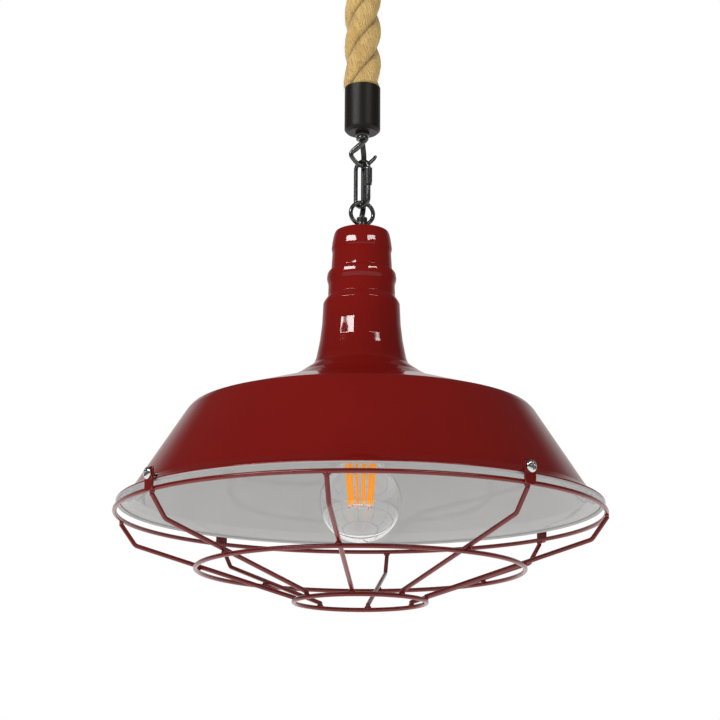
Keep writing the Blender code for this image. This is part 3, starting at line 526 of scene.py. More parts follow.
@dataclass(frozen=True)
class Hemp(Finish):
    """Twisted hemp: streaks along the fibres, painted shade darkening the grooves, with a fine bump of yarns.
    """

    hair_colour: tuple = (0.94, 0.72, 0.32)
    patch_colour: tuple = (0.46, 0.25, 0.06)
    groove_shade_colour: tuple = (0.16, 0.085, 0.025)

    def paint(self, tree: Tree) -> None:
        """Read the untwisted place from the attribute fibre and the groove's depth from groove."""
        place, groove = tree.attribute("fibre").outputs["Vector"], tree.attribute("groove")
        yarn = tree.noise(900, 3, place, (1, 1, 0.09))
        hair = tree.noise(2600, 2, place, (1, 1, 0.06))
        patch = tree.noise(120, 3, place, (1, 1, 0.4))
        straw = tree.mix(tree.span(yarn, 0, 1), self.colour, self.other)
        straw = tree.mix(tree.span(hair, 0, 0.55), straw, self.hair_colour)
        straw = tree.mix(tree.span(patch, 0, 0.45), straw, self.patch_colour)
        # painted shade: the grooves between the strands are darkened by their depth
        straw = tree.mix(tree.span(groove.outputs["Fac"], 0, 0.75, 0, 1), straw, self.groove_shade_colour)
        tree.feed("Base Color", straw)
        tree.feed("Normal", tree.bump(hair, 0.0005, tree.bump(yarn, 0.0014)))
        tree.set(Roughness=self.roughness, Sheen_Weight=0.35, Sheen_Roughness=0.5, Specular_IOR_Level=0.25)


@dataclass(frozen=True)
class ClearGlass(Finish):
    """Clear thin glass with faint unevenness."""

    def paint(self, tree: Tree) -> None:
        """Make the shader transmit."""
        tree.feed("Normal", tree.bump(tree.noise(40, 1), 0.000001))
        tree.set(Base_Color=(*self.colour, 1), Roughness=self.roughness, Transmission_Weight=1.0, IOR=1.45)


class Looks(Enum):
    """Every finish on the light."""

    SHADE = TwoToneEnamel("shade_enamel", (0.222, 0.0085, 0.0062), (0.205, 0.0075, 0.0055), 0.16, 0.02,
                          coat=0.60, specular=0.0, grain=260, depth=0.000006)
    GUARD = Finish("guard_enamel", (0.175, 0.0055, 0.0030), (0.145, 0.0045, 0.0025), 0.24, 0.04, coat=0.3,
                   specular=0.4, grain=260, depth=0.000006)
    BLACK = Finish("black_lacquer", (0.0095, 0.0082, 0.0060), (0.0120, 0.0104, 0.0078), 0.40, 0.05,
                   specular=0.20, grain=900, depth=0.00001)
    FORGED = Finish("forged_black", (0.010, 0.010, 0.0095), (0.018, 0.017, 0.016), 0.24, 0.06, coat=0.4,
                    specular=0.7, grain=700, depth=0.00003)
    CHROME = Finish("bright_plate", (0.72, 0.72, 0.71), (0.55, 0.55, 0.54), 0.16, 0.06, metallic=1.0,
                    grain=900, depth=0.00002)
    ZINC = Finish("zinc_plate", (0.46, 0.46, 0.43), (0.36, 0.35, 0.30), 0.38, 0.10, metallic=1.0, grain=500)
    BRASS = Finish("brass_parts", (0.60, 0.42, 0.16), (0.46, 0.31, 0.11), 0.30, 0.08, metallic=1.0, grain=600)
    HEMP = Hemp("hemp_rope", (0.56, 0.31, 0.065), (0.84, 0.59, 0.20), 0.85)
    CABLE = Finish("cable_sheath", (0.010, 0.010, 0.010), (0.016, 0.015, 0.014), 0.45, 0.06, grain=900)
    PHENOLIC = Finish("black_phenolic", (0.012, 0.011, 0.010), (0.020, 0.018, 0.016), 0.30, 0.06, grain=350)
    NYLON = Finish("white_nylon", (0.72, 0.71, 0.66), (0.64, 0.63, 0.57), 0.50, grain=350)
    PORCELAIN = Finish("white_porcelain", (0.78, 0.77, 0.73), (0.70, 0.69, 0.64), 0.22, 0.04, coat=0.5)
    GLASS = ClearGlass("envelope_glass", (1.0, 1.0, 1.0), (1.0, 1.0, 1.0), 0.0)
    # the filaments' glow is painted light: an emission in the coat's own orange that brightens them inside
    # the glass
    FILAMENT = Finish("filament_phosphor", (0.90, 0.330, 0.008), (0.84, 0.270, 0.006), 0.5, grain=900,
                      depth=0.00004, glow=0.60)

    def material(self) -> bpy.types.Material:
        """The finish's material."""
        return self.value.material()


KEPT = {
    Looks.ZINC: ("ceiling_strap", "canopy_nipple", "canopy_nipple_nut", "neck_washer", "neck_nut",
                 "stem_tube"),
    Looks.NYLON: ("terminal_block",),
    Looks.CABLE: ("canopy_cord", "power_cord_in_tube", "lead_left", "lead_right"),
    Looks.PORCELAIN: ("lampholder_insert",),
    Looks.BRASS: ("lampholder_screw_shell", "lampholder_contact", "terminal_screw_left",
                  "terminal_screw_right"),
}


# ---- the frame's own heights ----
@dataclass(frozen=True)
class Datum:
    """Heights and radii read from the frame, which every sub-assembly starts from."""

    canopy_bottom: float
    canopy_rim: float
    canopy_radius: float
    rope_top: float
    rope_bottom: float
    ferrule_radius: float
    upper_mouth: float
    upper_top: float
    lower_mouth: float
    lower_bottom: float
    collar_bottom: float
    hook_pivot: float
    lamp_pivot: float
    neck_top: float
    guard_plane: float
    rim_radius: float

    @classmethod
    def from_frame(cls) -> "Datum":
        """Read the boxes of the nodes and the joints' places.

        Returns:
            The filled-in datum.
        """
        low, high = (lambda node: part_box(node)[0]), (lambda node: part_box(node)[1])
        places = {joint["name"]: joint["pos_m"] for joint in frame["joints"] if "pos_m" in joint}
        ring = (low("guard_top_ring") + high("guard_top_ring")) / 2
        return cls(
            canopy_bottom=low("canopy").z,
            canopy_rim=high("canopy").z,
            canopy_radius=high("canopy").x,
            rope_top=high("rope").z,
            rope_bottom=low("rope").z,
            ferrule_radius=high("lower_ferrule").x,
            upper_mouth=low("upper_ferrule").z,
            upper_top=high("upper_ferrule").z,
            lower_mouth=high("lower_ferrule").z,
            lower_bottom=low("lower_ferrule").z,
            collar_bottom=low("hook_collar").z,
            hook_pivot=places["link_swing"][2],
            lamp_pivot=places["lamp_swing"][2],
            neck_top=high("shade").z,
            guard_plane=ring.z,
            rim_radius=high("shade").x,
        )


# ---- screws ----
class Recess(Enum):
    """The driver's shape in a screw's head: arms along both axes, or one slot."""

    CROSS = "cross"
    SLOT = "slot"


@dataclass(frozen=True)
class PanScrew:
    """A pan-head screw with its driver's recess, along +Z with the underside of its head at zero."""

    head_radius: float
    head_height: float
    shank_radius: float
    shank_length: float
    recess: Recess = Recess.CROSS
    edge: float = 0.28
    taper: float = 0.0006

    def grid(self) -> np.ndarray:
        """The head is a flattened dome; the recess sinks where the nearer axis is within half an arm.

        Returns:
            The grid, from the middle of the head's top down to the shank's end.
        """
        head, height = self.head_radius, self.head_height
        turn = np.linspace(0, 1, 22) * math.pi / 2
        dome = np.stack([head * np.sin(turn), height * (self.edge + (1 - self.edge) * np.cos(turn))], 1)
        shank, end = self.shank_radius, -self.shank_length
        side = rounded(
            [(head, self.edge * height), (head, 0), (shank, 0), (shank, end), (0.6 * shank, end - self.taper),
             (0, end - self.taper)],
            [0, 0.0004, 0, 0, 0.0003, 0], 3)
        grid = turned(np.vstack([dome, side[1:]]), 72)
        x, y = np.abs(grid[..., 0]), np.abs(grid[..., 1])
        nearer = np.minimum(x, y) if self.recess is Recess.CROSS else y
        arm, reach = 0.13 * head, 0.62 * head if self.recess is Recess.CROSS else 1.2 * head
        sunk = np.clip((arm - nearer) / (0.35 * arm) + 0.5, 0, 1)
        sunk *= np.clip((reach - np.hypot(x, y)) / (0.2 * head), 0, 1)
        top = grid[..., 2] > 0.05 * height
        grid[..., 2] -= 0.45 * height * sunk * top
        return grid


# ---- ceiling fitting ----
@dataclass
class CeilingFitting:
    """The canopy cup and its two screws."""

    datum: Datum
    wall: float = 0.0015
    corner: float = 0.006
    bore: float = 0.0053
    screw: PanScrew = PanScrew(0.0042, 0.0045, 0.0018, 0.027, Recess.SLOT)

    def build(self) -> None:
        """Turn the cup, then place a screw through each of its holes."""
        d, wall = self.datum, self.wall
        floor = d.canopy_bottom + wall
        corners = [
            (self.bore, floor), (self.bore, d.canopy_bottom), (d.canopy_radius, d.canopy_bottom),
            (d.canopy_radius, d.canopy_rim), (d.canopy_radius - wall, d.canopy_rim),
            (d.canopy_radius - wall, floor), (self.bore, floor),
        ]
        radii = [0, 0.0003, self.corner, 0.0004, 0.0004, self.corner - wall, 0]
        profile = resampled(rounded(corners, radii, 8), 0.004)[:-1]
        cup = skin("canopy_cup", [turned(profile, 128)], ring=True)
        finish_piece(cup, Looks.BLACK, "ceiling_and_rope", "black_steel", "canopy")
        for word in ("left", "right"):
            low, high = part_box("canopy_screw_" + word)
            seat = Vector(((low.x + high.x) / 2, 0, d.canopy_bottom - GAP))
            grid = placed(self.screw.grid(), Matrix.Translation(seat) @ Matrix.Rotation(math.pi, 4, "X"))
            screw = skin("canopy_pan_screw_" + word, [grid])
            finish_piece(screw, Looks.CHROME, "ceiling_and_rope", "bright_steel", "canopy_screw_" + word)


# ---- rope and ferrules ----
@dataclass
class RopeRun:
    """A three-strand rope gripped by a cup at each end, with loose fibres standing off it."""

    datum: Datum
    diameter: float = 0.028
    lay: float = 0.084
    phase_height: float = -0.1632
    crest: float = 0.0089
    helix: float = 0.0051
    yarn_depth: float = 0.00022
    fibre_turn: float = -22.0
    wall: float = 0.0013
    floor: float = 0.004
    chamfer: float = 0.0022
    hairs: int = 320
    rows: int = 380
    columns: int = 210

    def strand_radius(self, angle: np.ndarray) -> np.ndarray:
        """Distance to the surface of the nearest of three circles set round the axis.

        A circle of radius crest, its centre at helix from the axis, is met at helix times the cosine plus
        the root of crest squared less helix squared times the sine squared.

        Args:
            angle: the place round the rope, untwisted.

        Returns:
            The distance from the rope's axis.
        """
        third = math.tau / 3
        near = (angle + third / 2) % third - third / 2
        return self.helix * np.cos(near) + np.sqrt(self.crest**2 - (self.helix * np.sin(near)) ** 2)

    def turn_at(self, height: np.ndarray) -> np.ndarray:
        """The strands' turn at a height: a groove faces the front at the phase height."""
        return math.tau * (height - self.phase_height) / self.lay - math.pi / 2 + math.pi / 3

    def envelope(self, height: np.ndarray) -> np.ndarray:
        """Swell the rope beside each cup's mouth and squeeze it inside the cup.

        Args:
            height: the place along the rope.

        Returns:
            The share of the full radius.
        """
        d = self.datum
        depth = np.minimum(d.upper_mouth - height, height - d.lower_mouth)
        swell = 0.055 * np.exp(-(((depth - 0.004) / 0.004) ** 2))
        gripped = (d.ferrule_radius - self.wall - GAP) / (self.helix + self.crest)
        return gripped + (1 + swell - gripped) * np.clip((depth + 0.0004) / 0.0022, 0, 1) ** 0.5

    def surface(self) -> tuple[np.ndarray, np.ndarray, np.ndarray]:
        """Work out the rope's skin.

        Returns:
            The grid, the untwisted place of each point, and how deep in a groove it lies from 0 to 1.
        """
        d = self.datum
        height = np.linspace(d.rope_bottom, d.rope_top, self.rows)[:, None]
        angle = np.linspace(0, math.tau, self.columns, endpoint=False)[None]
        twisted = angle - self.turn_at(height)
        radius = self.strand_radius(twisted)
        depth = 1 - (radius - radius.min()) / (radius.max() - radius.min())
        untwisted = angle - self.fibre_turn * height
        ridges = np.sin(38 * untwisted + 1.3 * np.sin(5 * untwisted))
        ridges = ridges + 0.6 * np.sin(61 * untwisted + 40 * height)
        radius = radius * self.envelope(height) + self.yarn_depth * ridges
        inside = (height > d.upper_mouth) | (height < d.lower_mouth)
        most = d.ferrule_radius - self.wall - GAP
        radius = np.where(inside, np.minimum(radius, most), radius)
        grid = np.stack([radius * np.cos(angle), radius * np.sin(angle), height + 0 * angle], -1)
        shape = (1, self.columns, 3)
        ends = [np.broadcast_to(np.array((0, 0, z)), shape) for z in (d.rope_bottom, d.rope_top)]
        place = np.stack([radius * np.cos(untwisted), radius * np.sin(untwisted), height + 0 * angle], -1)
        grid = np.concatenate([ends[0], grid, ends[1]])
        place = np.concatenate([place[:1], place, place[-1:]])
        return grid, place, np.concatenate([depth[:1], depth, depth[-1:]]) ** 5

    def build(self) -> None:
        d = self.datum
        grid, place, depth = self.surface()
        rope = skin("twisted_rope", [grid])
        keep = np.ones(grid.shape[0] * grid.shape[1], bool)
        keep[1:self.columns] = False
        keep[1 - self.columns:] = False
        fibre = rope.data.attributes.new("fibre", "FLOAT_VECTOR", "POINT")
        fibre.data.foreach_set("vector", place.reshape(-1, 3)[keep].astype(np.float32).ravel())
        groove = rope.data.attributes.new("groove", "FLOAT", "POINT")
        groove.data.foreach_set("value", depth.reshape(-1)[keep].astype(np.float32))
        finish_piece(rope, Looks.HEMP, "ceiling_and_rope", "hemp", "rope")
        fuzz = self.fuzz()
        heights = np.linspace(d.rope_top, d.rope_bottom, 60)
        self.cup("upper_cup", d.upper_top, d.upper_mouth, "upper_ferrule")
        self.cup("lower_cup", d.lower_bottom, d.lower_mouth, "lower_ferrule")

    def fuzz(self) -> bpy.types.Object:
        """Make loose fibres: each leaves the surface at a slant and bends back as a thin curved hair.

        Returns:
            The piece that holds them all.
        """
        d = self.datum
        rng = np.random.default_rng(7)
        height = rng.uniform(d.lower_mouth + 0.003, d.upper_mouth - 0.003, self.hairs)
        angle = rng.uniform(0, math.tau, self.hairs)
        foot = self.strand_radius(angle - self.turn_at(height)) * self.envelope(height) - 0.0002
        length = rng.uniform(0.003, 0.009, self.hairs)
        lift = rng.uniform(0.10, 0.32, self.hairs)
        sway = rng.uniform(-0.5, 0.5, self.hairs)
        share = np.linspace(0, 1, 6)[None]
        radius = foot[:, None] + (length * lift)[:, None] * np.sin(share * 2.0)
        turn = angle[:, None] + (length * (sway - 0.25) / foot)[:, None] * share
        rise = height[:, None] + (length * rng.choice([-1, 1], self.hairs))[:, None] * share * 0.9
        paths = np.stack([radius * np.cos(turn), radius * np.sin(turn), rise], -1)
        radii = np.array([0.00007, 0.00007, 0.00006, 0.00005, 0.00003, 0.00001])
        outwards = [Vector((math.cos(a), math.sin(a), 0.1)) for a in angle]
        grids = [swept(path, radii, across, 4) for path, across in zip(paths, outwards)]
        piece = skin("rope_fibres", grids)
        strand = Finish("loose_hemp", (0.86, 0.64, 0.28), (0.62, 0.42, 0.15), 0.8)
        return finish_piece(piece, strand, "ceiling_and_rope", "hemp")

    def cup(self, name: str, closed: float, mouth: float, node: str) -> None:
        """Make a round cup with a chamfered end and a thin rolled mouth, bored through its floor.

        Args:
            name: the piece's name.
            closed: the height of its closed end.
            mouth: the height of its mouth.
            node: the CAD node that it replaces.
        """
        up = 1 if mouth > closed else -1
        outer, bore = self.datum.ferrule_radius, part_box("hook_collar")[1].x
        corners = [
            (bore, closed + up * self.floor), (bore, closed), (outer - self.chamfer, closed),
            (outer, closed + up * self.chamfer), (outer, mouth), (outer - self.wall, mouth),
            (outer - self.wall, closed + up * self.floor), (bore, closed + up * self.floor),
        ]
        radii = [0, 0.0002, 0.0014, 0.0016, 0.0005, 0.0004, 0, 0]
        profile = resampled(rounded(corners, radii, 6), 0.0025)[:-1]
        piece = skin(name, [turned(profile, 112)], ring=True)
        finish_piece(piece, Looks.BLACK, "ceiling_and_rope", "black_steel", node)


# ---- hook, link and loop ----
@dataclass
class Hanger:
    """The collar, hook, quick link with its sleeve, lifting loop, and the cable that runs behind them."""

    datum: Datum
    stem: float = 0.0050
    bead: float = 0.0054
    hook_wire: float = 0.0017
    hook_shank: float = 0.0023
    hook_reach: float = 0.0090
    hook_tip: float = 0.0108
    hook_yaw: float = math.radians(20)
    link_wire: float = 0.0016
    link_half: float = 0.0062
    link_yaw: float = math.radians(-38)
    link_mouth: float = 0.0045
    sleeve_radius: float = 0.0028
    loop_radius: float = 0.0089
    loop_wire: float = 0.0016
    loop_rise: float = 0.0145
    loop_yaw: float = math.radians(16)
    loop_collar: float = 0.0049
    loop_collar_height: float = 0.0110
    loop_stem: float = 0.0044
    cable: float = 0.0021
    cable_bore: float = 0.0026
    cable_back: float = 0.0062
    cable_side: float = 0.0012

    def build(self) -> None:
        """Make the pieces from the ferrule down to the neck."""
        self.collar()
        self.hook()
        self.link()
        self.sleeve()
        self.loop()
        self.cables()

    def collar(self) -> None:
        """Two round beads on a stem, bored for the cable."""
        top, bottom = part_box("hook_collar")[1].z, self.datum.collar_bottom
        seat = self.datum.lower_bottom - GAP
        half, bead = (seat + bottom) / 2, self.bead
        corners = [
            (self.cable_bore, top), (self.stem, top), (self.stem, seat), (bead, seat - 0.0003),
            (bead, half + 0.0005), (0.74 * bead, half), (0.90 * bead, half - 0.0005),
            (0.90 * bead, bottom), (self.cable_bore, bottom), (self.cable_bore, top),
        ]
        profile = rounded(corners, [0, 0, 0, 0.0014, 0.0014, 0.0003, 0.0012, 0.0012, 0, 0], 7)[:-1]
        piece = skin("beaded_collar", [turned(profile, 72)], ring=True)
        finish_piece(piece, Looks.FORGED, "ceiling_and_rope", "black_steel", "hook_collar")

    def hook_points(self) -> list:
        """Set out the hook's centre line, from the collar, in front of the cable, round to its tip.

        Returns:
            Its points.
        """
        yaw, reach, tip, pivot = self.hook_yaw, self.hook_reach, self.hook_tip, self.datum.hook_pivot
        corner, start = pivot + 0.0080, self.datum.collar_bottom - GAP
        return [
            Vector((0.0024, -0.0046, start - 0.0016)),
            Vector((0.0002, -0.0049, start - 0.0034)),
            in_plane(yaw, -0.0055, start - 0.0075, -0.0022),
            in_plane(yaw, -0.96 * reach, corner + 0.0018, -0.0003),
            in_plane(yaw, -reach, corner - 0.0004),
            in_plane(yaw, -0.88 * reach, corner - 0.0026),
            in_plane(yaw, -0.50 * reach, pivot + 0.0018),
            in_plane(yaw, -0.26 * reach, pivot + 0.0004),
            in_plane(yaw, 0.0, pivot),
            in_plane(yaw, 0.26 * reach, pivot + 0.0004),
            in_plane(yaw, 0.50 * reach, pivot + 0.0018),
            in_plane(yaw, 0.84 * tip, pivot + 0.0062),
            in_plane(yaw, tip, pivot + 0.0088),
        ]

    def hook(self) -> None:
        """A forged bar along the hook's line, thickest on its arm and drawn out at both ends."""
        wire, shank = self.hook_wire, self.hook_shank
        path = smooth_line(self.hook_points(), 120)
        share = np.linspace(0, 12, 120)
        sizes = [0.7 * shank, 0.85 * shank, shank, 1.1 * wire, wire, wire, 0.72 * wire]
        radii = np.interp(share, [0, 1, 2, 3, 5, 10, 12], sizes)
        across = Vector((-math.sin(self.hook_yaw), math.cos(self.hook_yaw), 0))
        path, radii = domed(path, radii)
        piece = skin("forged_hook", [swept(path, radii, across, 22)])
        finish_piece(piece, Looks.FORGED, "ceiling_and_rope", "black_steel", "hook")

    def link(self) -> None:
        """An oblong link: two half circles and two legs, open where the sleeve bridges it."""
        top = self.datum.hook_pivot + self.hook_wire + self.link_wire + GAP
        bottom, half = self.datum.lamp_pivot, self.link_half
        mouth = top - half - 0.0022
        arc = np.linspace(0, math.pi, 33)
        along = np.concatenate([[half], half * np.cos(arc), half * np.cos(arc + math.pi), [half]])
        height = np.concatenate([[mouth], top - half + half * np.sin(arc), bottom + half - half * np.sin(arc),
                                 [mouth - self.link_mouth]])
        yaw = self.link_yaw
        path = np.stack([along * math.cos(yaw), along * math.sin(yaw), height], 1)
        path, radii = domed(path, self.link_wire)
        piece = skin("oblong_link", [swept(path, radii, Vector((-math.sin(yaw), math.cos(yaw), 0)), 22)])
        finish_piece(piece, Looks.FORGED, "link", "black_steel", "quick_link")

    def sleeve(self) -> None:
        """A hexagon nut barrel with a round collar at its foot: the radius follows a softened hexagon."""
        low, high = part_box("quick_link_sleeve")
        bore = self.link_wire + GAP
        flat = self.sleeve_radius * 0.96
        corners = [(bore, high.z), (flat, high.z), (flat, low.z + 0.0022), (flat * 0.93, low.z + 0.0018),
                   (flat * 0.97, low.z + 0.0013), (flat * 0.97, low.z), (bore, low.z), (bore, high.z)]
        radii = [0, 0.0005, 0.0003, 0.0002, 0.0003, 0.0005, 0.0002, 0]
        profile = resampled(rounded(corners, radii, 4), 0.0010)[:-1]
        grid = turned(profile, 72)
        angle = np.linspace(0, math.tau, 72, endpoint=False)
        hexagon = (np.abs(np.cos(3 * angle)) ** 0.7 * 0.075 + 0.985)[None, :, None]
        hexed = (profile[:, 1] > low.z + 0.0021) & (profile[:, 0] > bore + 0.0004)
        grid[..., :2] *= np.where(hexed[:, None, None], hexagon, 1.0)
        grid += np.array(((low.x + high.x) / 2, (low.y + high.y) / 2, 0))
        piece = skin("link_nut", [grid], ring=True)
        finish_piece(piece, Looks.FORGED, "link_sleeve", "black_steel", "quick_link_sleeve")

    def loop(self) -> None:
        """A forged ring standing on a waisted collar, and the stem that goes into the neck."""
        centre = self.datum.neck_top + self.loop_rise
        ring = hoop(self.loop_radius, self.loop_wire, Vector((0, 0, 0)), 20, 96)
        stand = Matrix.Translation((0, 0, centre)) @ Matrix.Rotation(self.loop_yaw, 4, "Z")
        piece = skin("loop_ring", [placed(ring, stand @ Matrix.Rotation(math.pi / 2, 4, "X"))], ring=True)
        finish_piece(piece, Looks.FORGED, "lamp", "black_steel", "lifting_loop")
        seat, collar = self.datum.neck_top + GAP, self.loop_collar
        top, foot = self.datum.neck_top + self.loop_collar_height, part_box("lifting_loop")[0].z
        stem, nut_foot = self.loop_stem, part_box("neck_nut")[0].z
        corners = [
            (self.cable_bore, top), (0.86 * collar, top), (0.80 * collar, seat + 0.0060),
            (0.92 * collar, seat + 0.0030), (collar, seat + 0.0024), (collar, seat), (stem, seat),
            (stem, nut_foot), (stem, foot), (self.cable_bore, foot), (self.cable_bore, top),
        ]
        radii = [0, 0.0012, 0.004, 0.002, 0.0006, 0.0005, 0, 0, 0.0003, 0, 0]
        profile = resampled(rounded(corners, radii, 6), 0.0016)[:-1]
        piece = skin("loop_collar", [turned(profile, 72)], ring=True)
        finish_piece(piece, Looks.FORGED, "lamp", "black_steel", "lifting_loop")

    def cable_route(self) -> list:
        """Set out the cable: out of the collar, behind the hook and the link, into the loop's collar.

        Returns:
            Its points.
        """
        d, back, side = self.datum, self.cable_back, self.cable_side
        loop_top = d.neck_top + self.loop_rise + self.loop_radius
        collar_top = d.neck_top + self.loop_collar_height
        return [
            Vector((0, 0, d.lower_bottom + 0.004)),
            Vector((0, 0, d.collar_bottom - 0.0006)),
            Vector((0.2 * side, 0.12 * back, d.collar_bottom - 0.0028)),
            Vector((0.6 * side, 0.50 * back, d.collar_bottom - 0.0065)),
            Vector((side, 0.88 * back, d.collar_bottom - 0.0110)),
            Vector((side, back, d.hook_pivot + 0.0040)),
            Vector((side, back, (d.hook_pivot + loop_top) / 2)),
            Vector((side, back, loop_top + 0.0025)),
            Vector((0.8 * side, 0.94 * back, loop_top - 0.0020)),
            Vector((0.5 * side, 0.66 * back, loop_top - 0.0065)),
            Vector((0.1 * side, 0.20 * back, collar_top + 0.0024)),
            Vector((0, 0, collar_top + 0.0002)),
            Vector((0, 0, d.neck_top)),
        ]

    def cables(self) -> None:
        """Two lengths of cable that meet behind the link."""
        route = self.cable_route()
        path = smooth_line(route, 193)
        middle = 6 * 16
        halves = (
            ("cable_upper", path[: middle + 1], "ceiling_and_rope", "link", route[2], route[6],
             "power_cord_upper"),
            ("cable_lower", path[middle:], "link", "lamp", route[6], route[10], "power_cord_lower"),
        )
        for name, points, above, below, start, end, node in halves:
            piece = skin(name, [swept(points, self.cable, Vector((1, 0, 0)), 18)])
            piece.data.materials.append(Looks.CABLE.material())
            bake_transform(piece)
            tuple(start)
            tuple(end)
            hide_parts(node)
            LOG.info("%s bends between %s and %s", name, above, below)


# ---- shade ----
@dataclass
class Shade:
    """The spun shade: one closed wall, red outside and pale inside, with a rolled rim."""

    datum: Datum
    sheet: float = 0.0012
    bead: float = 0.0015
    columns: int = 176
    corners: list = field(default_factory=lambda: [
        # radius and height above the rim's edge, then the corner's rounding
        (0.17280, 0.0036, 0.006), (0.16870, 0.0075, 0.006), (0.13040, 0.0675, 0.006),
        (0.12716, 0.0712, 0.004), (0.11940, 0.0735, 0.010), (0.06050, 0.0925, 0.010),
        (0.04950, 0.0982, 0.020), (0.03610, 0.1075, 0.016), (0.03390, 0.1129, 0.012),
        (0.03260, 0.1195, 0.030), (0.03135, 0.1262, 0.006), (0.02975, 0.1392, 0.006),
        (0.02900, 0.1555, 0.0030), (0.02770, 0.1580, 0.0024), (0.02550, 0.1610, 0.0014),
        (0.02520, 0.1705, 0.010), (0.02645, 0.1752, 0.0060), (0.02600, 0.1790, 0.0030),
        (0.02500, 0.1808, 0.0014), (0.02325, 0.1818, 0.0010), (0.02235, 0.1960, 0.010),
        (0.02308, 0.1990, 0.004), (0.02251, 0.2040, 0.004), (0.02180, 0.2080, 0.006),
        (0.02120, 0.2106, 0.003), (0.02030, 0.21260, 0.0020), (0.01850, 0.2135, 0.003),
        (0.0047, 0.2135, 0.0),
    ])

    def build(self) -> None:
        """Offset the outline for the inner wall, join both by the rolled rim, and mark the lining."""
        d, radius = self.datum, self.datum.rim_radius
        foot = d.neck_top - self.corners[-1][1]
        outline = [(radius, foot)] + [(r, foot + z) for r, z, _ in self.corners]
        outer = resampled(rounded(outline, [0] + [c[2] for c in self.corners], 7), 0.0035)
        along = unit(np.gradient(outer, axis=0))
        inner = outer + self.sheet * np.stack([-along[:, 1], along[:, 0]], 1)
        inner[-1] = (outer[-1, 0], outer[-1, 1] - self.sheet)
        roll = np.linspace(math.radians(60), math.radians(-215), 16)
        edge = np.array((radius - self.bead, foot + 0.0002))
        rim = edge + self.bead * np.stack([np.cos(roll), np.sin(roll)], 1)
        profile = np.vstack([rim[::-1], outer[1:], inner[:0:-1]])
        white_rim = roll[::-1] < math.radians(-12)
        lining = np.concatenate([white_rim, np.zeros(len(outer) - 1), np.ones(len(inner) - 1)])
        piece = skin("spun_shade", [turned(profile, self.columns)], ring=True)
        marks = piece.data.attributes.new("lining", "FLOAT", "POINT")
        marks.data.foreach_set("value", np.repeat(lining, self.columns).astype(np.float32))
        finish_piece(piece, Looks.SHADE, "lamp", "red_enamel", "shade")


# ---- lampholder ----
@dataclass
class Lampholder:
    """The ribbed black skirt and its domed cap."""

    wall: float = 0.0022
    ribs: int = 36
    rib_depth: float = 0.0004

    def build(self) -> None:
        """Turn both pieces; the skirt's radius rises and falls round it as ribs."""
        low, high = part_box("lampholder_body")
        radius, ledge = high.x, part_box("lampholder_screw_shell")[1].x + GAP
        inner, step = radius - self.wall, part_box("lampholder_insert")[0].z - GAP
        corners = [
            (inner, high.z), (radius, high.z), (radius, high.z - 0.006), (radius - 0.0008, high.z - 0.0075),
            (radius - 0.0004, low.z + 0.007), (radius, low.z + 0.005), (radius, low.z), (ledge, low.z),
            (ledge, step), (inner, step), (inner, high.z),
        ]
        radii = [0, 0.0005, 0.001, 0.001, 0.001, 0.0008, 0.0012, 0.0010, 0, 0, 0]
        profile = resampled(rounded(corners, radii, 5), 0.0015)[:-1]
        grid = turned(profile, 144)
        angle = np.linspace(0, math.tau, 144, endpoint=False)
        outside = profile[:, 0] > inner + 0.0008
        ribbed = outside & (profile[:, 1] < high.z - 0.0078) & (profile[:, 1] > low.z + 0.0074)
        wave = 1 + self.rib_depth / radius * np.cos(self.ribs * angle)
        grid[..., :2] *= np.where(ribbed[:, None], wave, 1)[..., None]
        piece = skin("ribbed_skirt", [grid], ring=True)
        finish_piece(piece, Looks.PHENOLIC, "lamp", "black_plastic", "lampholder_body")
        low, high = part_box("lampholder_cap")
        bore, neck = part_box("stem_tube")[1].x + GAP, 0.0085
        corners = [
            (bore, high.z), (neck, high.z), (neck, high.z - 0.0050), (radius - 0.0050, high.z - 0.0070),
            (radius, low.z + 0.0030), (radius, low.z), (inner, low.z), (inner, low.z + 0.0020),
            (radius - 0.0070, low.z + 0.0044), (bore, low.z + 0.0044), (bore, high.z),
        ]
        radii = [0, 0.0008, 0.0012, 0.0040, 0.0040, 0.0005, 0.0002, 0.0005, 0.002, 0, 0]
        profile = resampled(rounded(corners, radii, 6), 0.002)[:-1]
        piece = skin("domed_cap", [turned(profile, 112)], ring=True)
        finish_piece(piece, Looks.PHENOLIC, "lamp", "black_plastic", "lampholder_cap")


